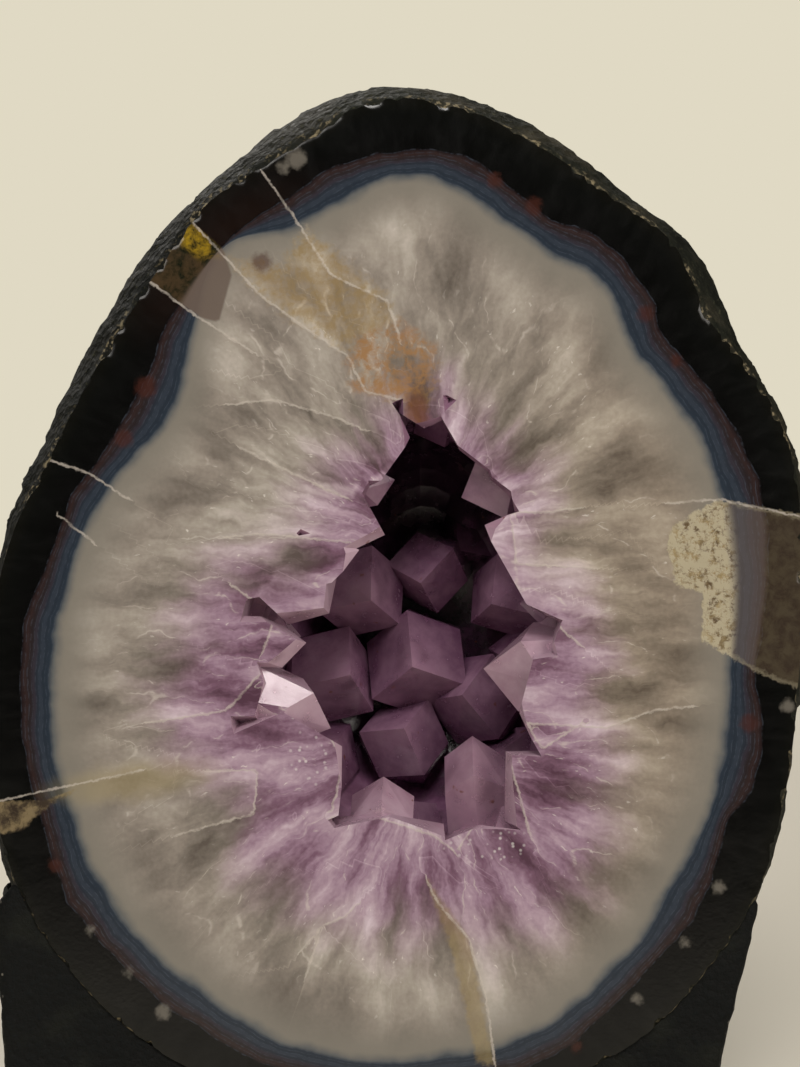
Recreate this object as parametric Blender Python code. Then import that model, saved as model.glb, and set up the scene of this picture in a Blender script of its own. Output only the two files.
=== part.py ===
"""Half of an amethyst geode with a polished cut face, standing on a cast foot.

Everything is worked out in a frame that lies in the polished face: u to the right, v up along
the face from the line where it meets the ground, w back into the stone. The face leans back a
little, and place() turns face coordinates into world coordinates. The world origin is on the
ground, below the middle of the whole object.
"""
import math
import random

import bmesh
import bpy
import numpy as np
from mathutils import Matrix, Vector

MM = 0.001

# Overall size and pose
LEAN = math.radians(5.0)             # the polished face leans back by this much
STONE_DEPTH = 69.5 * MM              # from the polished face to the back of the stone
WIDEST_DEPTH = 17.0 * MM             # how far behind the face the stone is widest
GAP = 0.3 * MM                       # between pieces that touch
BASE_GAP = 0.35 * MM                 # the foot's gap to the lumpy outside of the stone
MERGE = 0.0005 * MM                  # points closer than this are one point

# Mesh fineness
AROUND = 80                          # points round the outside of the stone
BOWL_AROUND = 40                     # points round the hollow in the stone, half as many
SHELL_AROUND = 20                    # points round the crust's own hollow
DOME_RINGS = 18                      # rings from the widest line to the back
BOWL_RINGS = 7                       # rings from the mouth to the floor of the hollow
SHELL_RINGS = 5                      # the same for the crust's own hollow

# The stone's widest outline seen from the front, in mm as (u, v), clockwise from the top
SILHOUETTE = [
    (0.0, 250.2), (24.4, 243.7), (53.7, 225.2), (71.3, 209.2), (80.8, 188.9), (91.4, 172.0),
    (97.0, 151.0), (98.1, 129.5), (95.4, 105.7), (92.3, 81.6), (84.8, 55.0), (69.0, 32.0),
    (38.0, 13.5), (0.0, 7.0), (-38.0, 11.5), (-71.0, 28.5), (-91.0, 53.0), (-97.6, 79.5),
    (-98.2, 108.0), (-93.4, 147.4), (-83.3, 169.4), (-71.8, 192.0), (-60.9, 210.4),
    (-43.2, 229.8), (-22.4, 244.5),
]

# The edge of the polished face, in mm as (u, v), clockwise from the top
RIM = [
    (0.0, 244.1), (16.5, 241.0), (31.0, 233.6), (49.6, 220.9), (62.8, 211.0), (68.0, 201.4),
    (71.6, 192.6), (82.8, 179.0), (90.5, 162.4), (93.2, 141.5), (93.3, 123.0), (92.1, 104.4),
    (88.9, 80.5), (82.8, 59.2), (72.2, 43.0), (57.3, 27.0), (37.1, 16.2), (0.0, 10.2),
    (-34.8, 13.8), (-57.3, 23.7), (-74.9, 39.8), (-86.8, 56.8), (-93.7, 77.6), (-95.6, 99.8),
    (-94.7, 123.0), (-89.8, 143.1), (-80.4, 162.3), (-67.4, 186.5), (-57.3, 202.5),
    (-44.6, 219.6), (-31.2, 228.6), (-18.8, 236.0), (-10.4, 241.9),
]

# Where the crystal lining meets the stone on the face, in mm as (u, v)
LINING_OUTLINE = [
    (6.3, 177.0), (29.0, 160.0), (43.0, 128.5), (44.5, 99.8), (34.5, 71.0), (7.0, 60.5),
    (-22.0, 69.0), (-39.5, 95.1), (-38.0, 124.0), (-21.0, 153.0),
]
HOLLOW_CENTRE = (5.0 * MM, 118.0 * MM)
BACK_CENTRE = (0.0, 112.0 * MM)      # where the back of the stone comes to its farthest point
BOWL_DEPTH = 54.0 * MM               # hollow in the stone, before the crystals line it
BOWL_FULLNESS = 0.55                 # below 1 keeps the hollow's walls steep
DOME_FULLNESS = 0.80                 # below 1 makes the back boxier than an ellipsoid
SLOW_WAVES = 3                       # waves round the outline that the back keeps
FLARE_STEPS = (0.08, 0.25, 0.55)     # rings between the rim and the widest line, as shares
FLARE_FULLNESS = 0.7                 # below 1 makes the stone flare out soon behind its rim
HALF_RING_SHARE = 0.5                # the back's rings have half their points below this size,
QUARTER_RING_SHARE = 0.28            # and a quarter below this, as a share of the widest line
SHELL = 4.5 * MM                     # crust that the crystals stand on

# Crystals cut by the polished face, which give the mouth its teeth. Each is
# (tip u, tip v, tip depth, direction from tip to root in degrees, how far the root dips back in
# degrees, radius, height of the point over the radius), lengths in mm.
MOUTH_CRYSTALS = [
    (5.6, 167.5, 2.0, 92, 4, 6.0, 0.50),
    (13.9, 162.4, 2.0, 45, 2, 10.0, 0.20),
    (21.3, 155.4, 2.0, 38, 2, 9.0, 0.30),
    (26.7, 148.0, 2.0, 30, 2, 9.0, 0.30),
    (19.7, 145.0, 2.0, -24, 0, 15.0, 1.07),
    (35.3, 117.2, 2.0, 0, 2, 9.0, 0.30),
    (27.8, 101.2, 2.0, 9, 0, 14.0, 0.36),
    (24.6, 92.3, 2.0, -42, 0, 13.0, 1.05),
    (29.7, 73.0, 2.0, -50, 2, 9.0, 0.30),
    (18.6, 75.2, 2.0, 275, 2, 13.0, 0.25),
    (-2.3, 77.7, 2.0, 266, 2, 15.0, 0.25),
    (-16.2, 77.0, 2.0, 230, 2, 9.0, 0.30),
    (-13.5, 93.5, 2.0, 204, 0, 15.0, 0.60),
    (-31.1, 108.1, 2.0, 180, 2, 9.0, 0.30),
    (-21.8, 117.6, 2.0, 179, 2, 6.0, 1.40),
    (-16.5, 124.4, 3.0, 137, 0, 9.6, 0.78),
    (-9.5, 139.2, 2.0, 191, 0, 7.0, 1.28),
    (-3.5, 142.7, 2.0, 155, 0, 8.0, 1.15),
    (-21.0, 145.0, 2.5, 152, 3, 7.5, 0.34),
    (-7.0, 154.3, 2.0, 165, 2, 9.5, 0.30),
    (2.3, 165.4, 2.0, 179, -2, 12.0, 0.60),
    (-1.2, 155.7, 9.0, 190, 8, 5.5, 1.10),
    (-16.2, 97.4, 6.0, 155, 6, 8.0, 1.10),
    (-3.9, 85.8, 9.0, 268, 10, 8.5, 0.90),
    (17.2, 94.9, 15.0, 275, 14, 8.5, 1.10),
    (19.7, 111.1, 11.0, 2, 8, 10.5, 1.00),
    (14.5, 151.5, 11.0, 25, 8, 9.5, 1.00),
]
POINT_HEIGHT = 1.05                  # the same ratio for the other crystals
UNEVEN_POINT = 0.36                  # every other face of a point is larger by this share
MOUTH_LENGTH = 42.0 * MM             # reaches past the crust's outer wall, where it is cut off
SHORTEST_PRISM = 1.6                 # length of the stubbiest crystal over its point's height

# Big crystals standing on the floor of the hollow: (tip u, tip v, tip depth, lean right in
# degrees, lean up in degrees, radius), lengths in mm.
FLOOR_CRYSTALS = [
    (-7.0, 127.0, 22.0, -12, 8, 12.0),
    (5.0, 131.0, 27.0, 10, 14, 10.0),
    (-12.0, 109.0, 23.0, -20, -4, 12.5),
    (3.0, 111.0, 21.0, 4, 0, 13.5),
    (15.0, 104.0, 25.0, 16, -8, 12.0),
    (1.0, 96.0, 24.0, 0, -16, 11.0),
    (22.0, 126.0, 24.0, 24, 10, 11.0),
    (27.0, 112.0, 27.0, 26, 0, 10.0),
    (14.0, 139.0, 38.0, 12, 18, 10.0),
    (-16.0, 92.0, 26.0, -18, -20, 10.5),
    (24.0, 90.0, 26.0, 22, -20, 10.0),
    (6.0, 152.0, 44.0, 0, 22, 9.0),
]

# Smaller crystals in rows round the wall of the hollow: (depth in mm, how many, first angle)
WALL_ROWS = [(15.0, 10, 8.0), (27.0, 9, 20.0), (38.0, 7, 5.0)]
WALL_RADIUS = (5.0, 7.5)             # mm
WALL_REACH = (9.0, 14.0)             # how far a wall crystal stands into the hollow, mm
WALL_SHIFT = 0.2                     # unevenness of their spacing, as a share of it
WALL_SWING = 16.0                    # they swing sideways by up to this, in degrees,
WALL_TILT = 10.0                     # and tilt by up to this,
WALL_TILT_RISE = 0.9                 # with this much more for each mm of depth
WALL_ROOT = 5.0 * MM                 # how far wall crystals run on into the crust,
FLOOR_ROOT = 6.0 * MM                # and floor crystals
CRYSTAL_SEED = 32

# Cast foot: rings from the ground up, in mm as (height, left, right, back)
BASE_RINGS = [
    (0.0, -88.5, 69.0, 64.0), (2.5, -90.5, 71.5, 66.0), (20.0, -92.5, 75.3, 65.5),
    (36.0, -93.6, 79.3, 61.5), (48.0, -94.2, 82.2, 55.0), (57.0, -94.2, 84.0, 46.0),
    (64.0, -88.0, 77.0, 36.0),
]
BASE_CORNER = 28.0 * MM              # rounding of the foot's corners at the back,
BASE_CORNER_SHARE = 0.6              # and at most this share of its depth at that height
BASE_FRONT_CORNER = 2.0 * MM         # rounding of its front corners
BASE_RECESS = 0.5 * MM               # the foot's front stays this far behind the polished face
CORNER_STEPS = 4
SIDE_STEPS = 5
BASE_LUMPS = 0.35                    # share of the stone's lumps that the foot has
BASE_FLAT_FRONT = 3.0 * MM           # its front stays flat this far back,
BASE_FLAT_BOTTOM = 0.5 * MM          # and its underside this far up
BASE_MIDDLE = (-8.0 * MM, 30.0 * MM)
SEAT_REACH = 5.0 * MM                # how far the cutter of the foot stands out in front

# Lumps of the rough outside, as (seed, wavelength in mm, height in mm)
LUMPS = [(11, 62.0, 3.0), (12, 30.0, 1.9), (13, 17.0, 0.9)]
LUMP_WAVES = 14                      # plane waves added up for each kind of lump
LUMP_CREST = 1.6                     # height that their sum seldom passes
EDGE_LUMPS = 0.22                    # share of the lumps' height at the widest line
ROUGH_DEPTH = 22.0 * MM              # how far behind that line they reach their full height


def place(points):
    """World coordinates of face coordinates, an array of rows u, v, w in metres."""
    u, v, w = np.asarray(points, dtype=float).T
    y = v * math.sin(LEAN) + w * math.cos(LEAN)
    z = v * math.cos(LEAN) - w * math.sin(LEAN)
    return np.stack([u, y, z], axis=1)


def waves(points, seed, wavelength):
    """A smooth random height of about -1 to 1, from plane waves in fixed random directions."""
    rng = np.random.RandomState(seed)
    directions = rng.normal(size=(LUMP_WAVES, 3))
    directions /= np.linalg.norm(directions, axis=1)[:, None]
    lengths = wavelength * rng.uniform(0.7, 1.4, LUMP_WAVES)
    phases = rng.uniform(0, 2 * math.pi, LUMP_WAVES)
    angles = points @ (directions * (2 * math.pi / lengths)[:, None]).T + phases
    return np.sin(angles).sum(axis=1) / math.sqrt(LUMP_WAVES / 2)


def lumps(points):
    """Height of the rough outside at each point, in metres."""
    height = np.zeros(len(points))
    for seed, wavelength, size in LUMPS:
        height += size * MM * waves(points, seed, wavelength * MM) / LUMP_CREST
    return height


def ring_angles(count=AROUND):
    return np.arange(count) * (2 * math.pi / count)


def smooth_loop(angles, values, at):
    """Values at the angles `at`, on a smooth closed curve through the given ones."""
    order = np.argsort(angles)
    a = np.asarray(angles, dtype=float)[order]
    r = np.asarray(values, dtype=float)[order]
    a = np.concatenate([a[-2:] - 2 * math.pi, a, a[:3] + 2 * math.pi])
    r = np.concatenate([r[-2:], r, r[:3]])
    slope = np.empty(len(a))
    slope[1:-1] = (r[2:] - r[:-2]) / (a[2:] - a[:-2])
    slope[0] = slope[1]
    slope[-1] = slope[-2]
    at = np.mod(at, 2 * math.pi)
    k = np.clip(np.searchsorted(a, at, side="right") - 1, 0, len(a) - 2)
    span = a[k + 1] - a[k]
    t = (at - a[k]) / span
    return (
        r[k] * (1 + 2 * t) * (1 - t) ** 2
        + r[k + 1] * t * t * (3 - 2 * t)
        + span * slope[k] * t * (1 - t) ** 2
        + span * slope[k + 1] * t * t * (t - 1)
    )


def outline_radius(outline, at):
    """Distance from the hollow's centre to an outline given in mm, at the angles `at`."""
    p = np.array(outline) * MM - np.array(HOLLOW_CENTRE)
    return smooth_loop(np.mod(np.arctan2(p[:, 1], p[:, 0]), 2 * math.pi), np.hypot(*p.T), at)


def without_corners(radius):
    """The same closed outline with only its slowest waves, so an egg without the knobs."""
    terms = np.fft.rfft(radius)
    terms[SLOW_WAVES + 1:] = 0.0
    return np.fft.irfft(terms, len(radius))


def flat_ring(radius, depth, centre=HOLLOW_CENTRE):
    """A ring of points at one depth, with a radius given for each of its angles."""
    a = ring_angles(len(radius))
    u = centre[0] + radius * np.cos(a)
    v = centre[1] + radius * np.sin(a)
    return np.stack([u, v, np.full(len(radius), depth)], axis=1)


def outside_rings(extra=0.0):
    """Rings of the rough outside from the polished rim to the back, `extra` metres farther out."""
    at = ring_angles()
    rim = outline_radius(RIM, at)
    widest = outline_radius(SILHOUETTE, at)
    rounded = without_corners(widest)
    outward = np.stack([np.cos(at), np.sin(at), np.zeros(AROUND)], axis=1)
    rings = [flat_ring(rim, 0.0)]
    for part in FLARE_STEPS:
        swell = math.sin(part * math.pi / 2) ** FLARE_FULLNESS
        rings.append(flat_ring(rim + (widest - rim) * swell, WIDEST_DEPTH * part))
    for k in range(DOME_RINGS):
        turn = k / DOME_RINGS * math.pi / 2
        shrink = math.cos(turn) ** DOME_FULLNESS
        slide = math.sin(turn) ** 2
        shape = widest + (rounded - widest) * slide
        centre = (
            HOLLOW_CENTRE[0] + (BACK_CENTRE[0] - HOLLOW_CENTRE[0]) * slide,
            HOLLOW_CENTRE[1] + (BACK_CENTRE[1] - HOLLOW_CENTRE[1]) * slide,
        )
        depth = WIDEST_DEPTH + (STONE_DEPTH - WIDEST_DEPTH) * math.sin(turn)
        every = 1 if shrink > HALF_RING_SHARE else 2 if shrink > QUARTER_RING_SHARE else 4
        rings.append(flat_ring(shape[::every] * shrink, depth, centre))
    middle = np.array([BACK_CENTRE[0], BACK_CENTRE[1], WIDEST_DEPTH])
    for k, ring in enumerate(rings):
        if k == 0:
            ring += outward * extra
            continue
        away = ring - middle
        away[:, 2] = np.maximum(away[:, 2], 0.0)
        away /= np.linalg.norm(away, axis=1)[:, None]
        depth = ring[0, 2]
        calm = EDGE_LUMPS + (1 - EDGE_LUMPS) * max(0.0, depth - WIDEST_DEPTH) / ROUGH_DEPTH
        fade = min(1.0, calm) * min(1.0, depth / WIDEST_DEPTH)
        ring += away * (lumps(ring) * fade + extra)[:, None]
    return rings


def back_point(extra=0.0):
    tip = np.array([[BACK_CENTRE[0], BACK_CENTRE[1], STONE_DEPTH]])
    tip[0, 2] += lumps(tip)[0] + extra
    return tip


def bowl_rings(inset, around=BOWL_AROUND, count=BOWL_RINGS):
    """Rings of the hollow from the face to its floor, `inset` metres inside its wall."""
    radius = outline_radius(LINING_OUTLINE, ring_angles(around)) - inset
    rings = []
    for k in range(count):
        turn = k / count * math.pi / 2
        rings.append(flat_ring(radius * math.cos(turn) ** BOWL_FULLNESS,
                               (BOWL_DEPTH - inset) * math.sin(turn)))
    return rings


def band(a, count_a, b, count_b):
    """Triangles between two rings whose points start at the indices a and b."""
    faces = []
    if count_a == 2 * count_b:
        return [face[::-1] for face in band(b, count_b, a, count_a)]
    for k in range(count_a):
        n = (k + 1) % count_a
        if count_b == count_a:
            faces.append((a + k, a + n, b + n))
            faces.append((a + k, b + n, b + k))
        else:
            first, middle, last = b + 2 * k, b + 2 * k + 1, b + 2 * n
            faces.append((a + k, middle, first))
            faces.append((a + k, a + n, middle))
            faces.append((a + n, last, middle))
    return faces


def closed_mesh(name, rings, first_point, last_point):
    """A closed mesh over rings, with a fan to a point at each end.

    A ring has as many points as the one before it, twice as many or half as many. Every
    four-sided patch is split along the same diagonal, so that two meshes made from the same
    rings at different offsets keep an even gap.
    """
    verts = np.concatenate([first_point] + rings + [last_point])
    faces = []
    start = 1
    for k in range(len(rings[0])):
        faces.append((0, start + (k + 1) % len(rings[0]), start + k))
    for ring, after in zip(rings, rings[1:]):
        a, b = start, start + len(ring)
        faces += band(a, len(ring), b, len(after))
        start = b
    for k in range(len(rings[-1])):
        faces.append((start + k, start + (k + 1) % len(rings[-1]), len(verts) - 1))
    mesh = bpy.data.meshes.new(name)
    mesh.from_pydata([tuple(p) for p in place(verts)], [], faces)
    mesh.validate()
    point_out(mesh)
    return mesh


def point_out(mesh):
    work = bmesh.new()
    work.from_mesh(mesh)
    bmesh.ops.recalc_face_normals(work, faces=work.faces)
    if work.calc_volume(signed=True) < 0:
        bmesh.ops.reverse_faces(work, faces=work.faces)
    work.to_mesh(mesh)
    work.free()


def add_object(name, mesh, material=None):
    item = bpy.data.objects.new(name, mesh)
    bpy.context.scene.collection.objects.link(item)
    if material:
        mesh.materials.clear()
        mesh.materials.append(material)
    return item


def as_guide(item):
    item.hide_render = True
    item.display_type = 'WIRE'
    return item


def cut(item, tool, operation):
    step = item.modifiers.new(operation.lower() + "_" + tool.name, 'BOOLEAN')
    step.operation = operation
    step.solver = 'EXACT'
    step.object = tool
    step.use_self = True


def settle(item):
    """Apply the modifiers and keep only the largest connected body."""
    bpy.context.view_layer.update()
    graph = bpy.context.evaluated_depsgraph_get()
    mesh = bpy.data.meshes.new_from_object(item.evaluated_get(graph))
    item.modifiers.clear()
    work = bmesh.new()
    work.from_mesh(mesh)
    bmesh.ops.remove_doubles(work, verts=work.verts, dist=MERGE)
    waiting = set(work.verts)
    largest = set()
    while waiting:
        seed = waiting.pop()
        body = {seed}
        front = [seed]
        while front:
            for edge in front.pop().link_edges:
                for vert in edge.verts:
                    if vert not in body:
                        body.add(vert)
                        front.append(vert)
        waiting -= body
        if len(body) > len(largest):
            largest = body
    bmesh.ops.delete(work, geom=[v for v in work.verts if v not in largest], context='VERTS')
    bmesh.ops.triangulate(work, faces=work.faces)
    work.to_mesh(mesh)
    work.free()
    old = item.data
    item.data = mesh
    bpy.data.meshes.remove(old)
    return item


def finish(name, colour, roughness):
    material = bpy.data.materials.new(name)
    material.use_nodes = True
    shader = material.node_tree.nodes["Principled BSDF"]
    shader.inputs["Base Color"].default_value = (*colour, 1.0)
    shader.inputs["Roughness"].default_value = roughness
    shader.inputs["Metallic"].default_value = 0.0
    return material


def add_crystal(work, tip, root_way, radius, length, chance, point=POINT_HEIGHT):
    """A six-sided crystal: a prism with a pointed end whose faces meet at the tip.

    The shoulders of the point move only along the axis, so every face stays flat.
    """
    axis = root_way.normalized()
    side = axis.orthogonal().normalized()
    side.rotate(Matrix.Rotation(chance.uniform(0, math.pi / 3), 3, axis))
    other = axis.cross(side)
    cap = radius * point
    shoulder = []
    foot = []
    for k in range(6):
        a = k * math.pi / 3
        out = (side * math.cos(a) + other * math.sin(a)) * radius
        drop = cap * (1.0 + UNEVEN_POINT * (-1) ** k * chance.uniform(0.5, 1.0))
        shoulder.append(work.verts.new(tip + out + axis * drop))
        foot.append(work.verts.new(tip + out + axis * max(length, cap * SHORTEST_PRISM)))
    top = work.verts.new(tip)
    for k in range(6):
        n = (k + 1) % 6
        work.faces.new((top, shoulder[k], shoulder[n]))
        work.faces.new((shoulder[k], foot[k], foot[n], shoulder[n]))
    work.faces.new(foot[::-1])


def face_way(u, v, w):
    """World direction of a direction in face coordinates."""
    return Vector(place([(u, v, w)])[0])


def face_point(u, v, w):
    """World point of face coordinates in mm."""
    return Vector(place([(u * MM, v * MM, w * MM)])[0])


def mouth_crystals(work, chance):
    for u, v, w, heading, dip, radius, point in MOUTH_CRYSTALS:
        a = math.radians(heading)
        d = math.radians(dip)
        way = face_way(math.cos(a) * math.cos(d), math.sin(a) * math.cos(d), math.sin(d))
        add_crystal(work, face_point(u, v, w), way, radius * MM, MOUTH_LENGTH, chance, point)


def floor_crystals(work, chance):
    for u, v, w, right, up, radius in FLOOR_CRYSTALS:
        way = face_way(math.tan(math.radians(right)), math.tan(math.radians(up)), 1.0)
        length = BOWL_DEPTH - w * MM + FLOOR_ROOT
        add_crystal(work, face_point(u, v, w), way, radius * MM, length, chance)


def wall_crystals(work, chance):
    for depth, count, first in WALL_ROWS:
        turn = math.asin(depth * MM / BOWL_DEPTH)
        for k in range(count):
            a = math.radians(first + (k + chance.uniform(-WALL_SHIFT, WALL_SHIFT)) * 360 / count)
            wall = float(outline_radius(LINING_OUTLINE, np.array([a]))[0])
            wall *= math.cos(turn) ** BOWL_FULLNESS
            reach = chance.uniform(*WALL_REACH) * MM
            u = HOLLOW_CENTRE[0] + (wall - reach) * math.cos(a)
            v = HOLLOW_CENTRE[1] + (wall - reach) * math.sin(a)
            aim = a + math.radians(chance.uniform(-WALL_SWING, WALL_SWING))
            tilt = math.radians(depth * WALL_TILT_RISE + chance.uniform(-WALL_TILT, WALL_TILT))
            way = face_way(math.cos(aim) * math.cos(tilt), math.sin(aim) * math.cos(tilt),
                           math.sin(tilt))
            tip = Vector(place([(u, v, depth * MM)])[0])
            radius = chance.uniform(*WALL_RADIUS) * MM
            add_crystal(work, tip, way, radius, reach + WALL_ROOT, chance)


def make_stone(material):
    """Rind, agate bands and white quartz grown as one, cut flat and hollow in the middle."""
    rings = bowl_rings(0.0)[::-1] + outside_rings()
    floor = np.array([[HOLLOW_CENTRE[0], HOLLOW_CENTRE[1], BOWL_DEPTH]])
    mesh = closed_mesh("geode_stone", rings, floor, back_point())
    mesh.shade_smooth()
    mesh.set_sharp_from_angle(angle=math.radians(40))
    return add_object("geode_stone", mesh, material)


def make_crust(material):
    """The crystals that line the hollow, cut by the same plane as the stone's face."""
    chance = random.Random(CRYSTAL_SEED)
    work = bmesh.new()
    mouth_crystals(work, chance)
    floor_crystals(work, chance)
    wall_crystals(work, chance)
    mesh = bpy.data.meshes.new("crystal_points")
    work.to_mesh(mesh)
    work.free()
    point_out(mesh)
    points = as_guide(add_object("crystal_points", mesh))

    outer = bowl_rings(GAP)
    middle = np.array([[HOLLOW_CENTRE[0], HOLLOW_CENTRE[1], 0.0]])
    deep = np.array([[HOLLOW_CENTRE[0], HOLLOW_CENTRE[1], BOWL_DEPTH - GAP]])
    plug = as_guide(add_object("hollow_plug", closed_mesh("hollow_plug", outer, middle, deep)))

    inner = bowl_rings(GAP + SHELL, SHELL_AROUND, SHELL_RINGS)[::-1]
    inner_floor = np.array([[HOLLOW_CENTRE[0], HOLLOW_CENTRE[1], BOWL_DEPTH - GAP - SHELL]])
    crust = add_object("amethyst_crust",
                       closed_mesh("amethyst_crust", inner + outer, inner_floor, deep), material)
    cut(crust, points, 'UNION')
    settle(crust)
    cut(crust, plug, 'INTERSECT')
    settle(crust)
    crust.data.materials.clear()
    crust.data.materials.append(material)
    for guide in (points, plug):
        bpy.data.objects.remove(guide)
    return crust


def base_ring(height, left, right, back):
    """A ring round the foot at one height: straight front, rounded corners at the back."""
    front = height * math.tan(LEAN) + BASE_RECESS
    bend = min(BASE_CORNER, BASE_CORNER_SHARE * (back - front))
    points = []
    corners = [
        (right - BASE_FRONT_CORNER, front + BASE_FRONT_CORNER, -90, BASE_FRONT_CORNER),
        (right - bend, back - bend, 0, bend),
        (left + bend, back - bend, 90, bend),
        (left + BASE_FRONT_CORNER, front + BASE_FRONT_CORNER, 180, BASE_FRONT_CORNER),
    ]
    for index, (x, y, start, radius) in enumerate(corners):
        arc = [
            (x + radius * math.cos(math.radians(start + 90 * k / CORNER_STEPS)),
             y + radius * math.sin(math.radians(start + 90 * k / CORNER_STEPS)))
            for k in range(CORNER_STEPS + 1)
        ]
        if points:
            last = points[-1]
            points += [
                (last[0] + (arc[0][0] - last[0]) * k / SIDE_STEPS,
                 last[1] + (arc[0][1] - last[1]) * k / SIDE_STEPS)
                for k in range(1, SIDE_STEPS)
            ]
        points += arc
    return [Vector((x, y, height)) for x, y in points]


def roughen_base(work):
    """Push the foot's sides and back in and out a little; its front and underside stay flat."""
    for vert in work.verts:
        x, y, z = vert.co
        front = z * math.tan(LEAN) + BASE_RECESS
        if z < BASE_FLAT_BOTTOM or y < front + BASE_FLAT_FRONT:
            continue
        height = float(lumps(np.array([[x, y, z]]))[0]) * BASE_LUMPS
        middle = Vector((*BASE_MIDDLE, z))
        vert.co += (vert.co - middle).normalized() * height


def make_base(material):
    """Cast foot that holds the stone upright: a block cut out to the stone's own shape."""
    work = bmesh.new()
    rows = []
    for ring in BASE_RINGS:
        row = base_ring(*(value * MM for value in ring))
        rows.append([work.verts.new(p) for p in row])
    count = len(rows[0])
    for low, high in zip(rows, rows[1:]):
        for k in range(count):
            n = (k + 1) % count
            work.faces.new((low[k], low[n], high[n], high[k]))
    work.faces.new(rows[0][::-1])
    work.faces.new(rows[-1])
    roughen_base(work)
    mesh = bpy.data.meshes.new("cast_base")
    work.to_mesh(mesh)
    work.free()
    point_out(mesh)
    base = add_object("cast_base", mesh, material)

    rings = outside_rings(BASE_GAP)
    front = [rings[0] + np.array([0.0, 0.0, -SEAT_REACH])]
    middle = np.array([[HOLLOW_CENTRE[0], HOLLOW_CENTRE[1], -SEAT_REACH]])
    mesh = closed_mesh("stone_seat", front + rings, middle, back_point(BASE_GAP))
    seat = as_guide(add_object("stone_seat", mesh))
    cut(base, seat, 'DIFFERENCE')
    settle(base)
    base.data.materials.clear()
    base.data.materials.append(material)
    bpy.data.objects.remove(seat)
    return base


def centre_on_ground(pieces):
    """Shift every piece so that the origin is below the middle of the whole object's box."""
    points = [vert.co for piece in pieces for vert in piece.data.vertices]
    low = [min(p[axis] for p in points) for axis in range(3)]
    high = [max(p[axis] for p in points) for axis in range(3)]
    shift = Matrix.Translation((-(low[0] + high[0]) / 2, -(low[1] + high[1]) / 2, -low[2]))
    for piece in pieces:
        piece.data.transform(shift)


def build():
    for item in list(bpy.data.objects):
        bpy.data.objects.remove(item, do_unlink=True)
    stone = finish("polished_agate", (0.34, 0.32, 0.30), 0.25)
    amethyst = finish("amethyst", (0.30, 0.16, 0.34), 0.12)
    cement = finish("black_cast_cement", (0.018, 0.019, 0.020), 0.85)
    centre_on_ground([make_stone(stone), make_crust(amethyst), make_base(cement)])


build()
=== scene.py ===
import math
import random
from functools import partial

import bmesh
import bpy
import numpy as np
from mathutils import Matrix, Vector


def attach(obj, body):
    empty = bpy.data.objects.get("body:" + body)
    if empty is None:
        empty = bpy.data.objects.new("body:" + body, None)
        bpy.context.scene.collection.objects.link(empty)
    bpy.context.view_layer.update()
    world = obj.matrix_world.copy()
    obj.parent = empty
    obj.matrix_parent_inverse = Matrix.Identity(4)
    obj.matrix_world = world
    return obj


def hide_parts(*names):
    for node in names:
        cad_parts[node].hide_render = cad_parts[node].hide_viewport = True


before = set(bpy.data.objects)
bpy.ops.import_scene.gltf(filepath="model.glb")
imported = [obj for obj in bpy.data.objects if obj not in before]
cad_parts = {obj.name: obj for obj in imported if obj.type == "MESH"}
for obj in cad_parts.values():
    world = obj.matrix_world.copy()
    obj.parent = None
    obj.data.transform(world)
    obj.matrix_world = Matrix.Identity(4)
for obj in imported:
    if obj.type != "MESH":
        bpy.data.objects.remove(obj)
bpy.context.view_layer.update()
mm = 0.001

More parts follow.
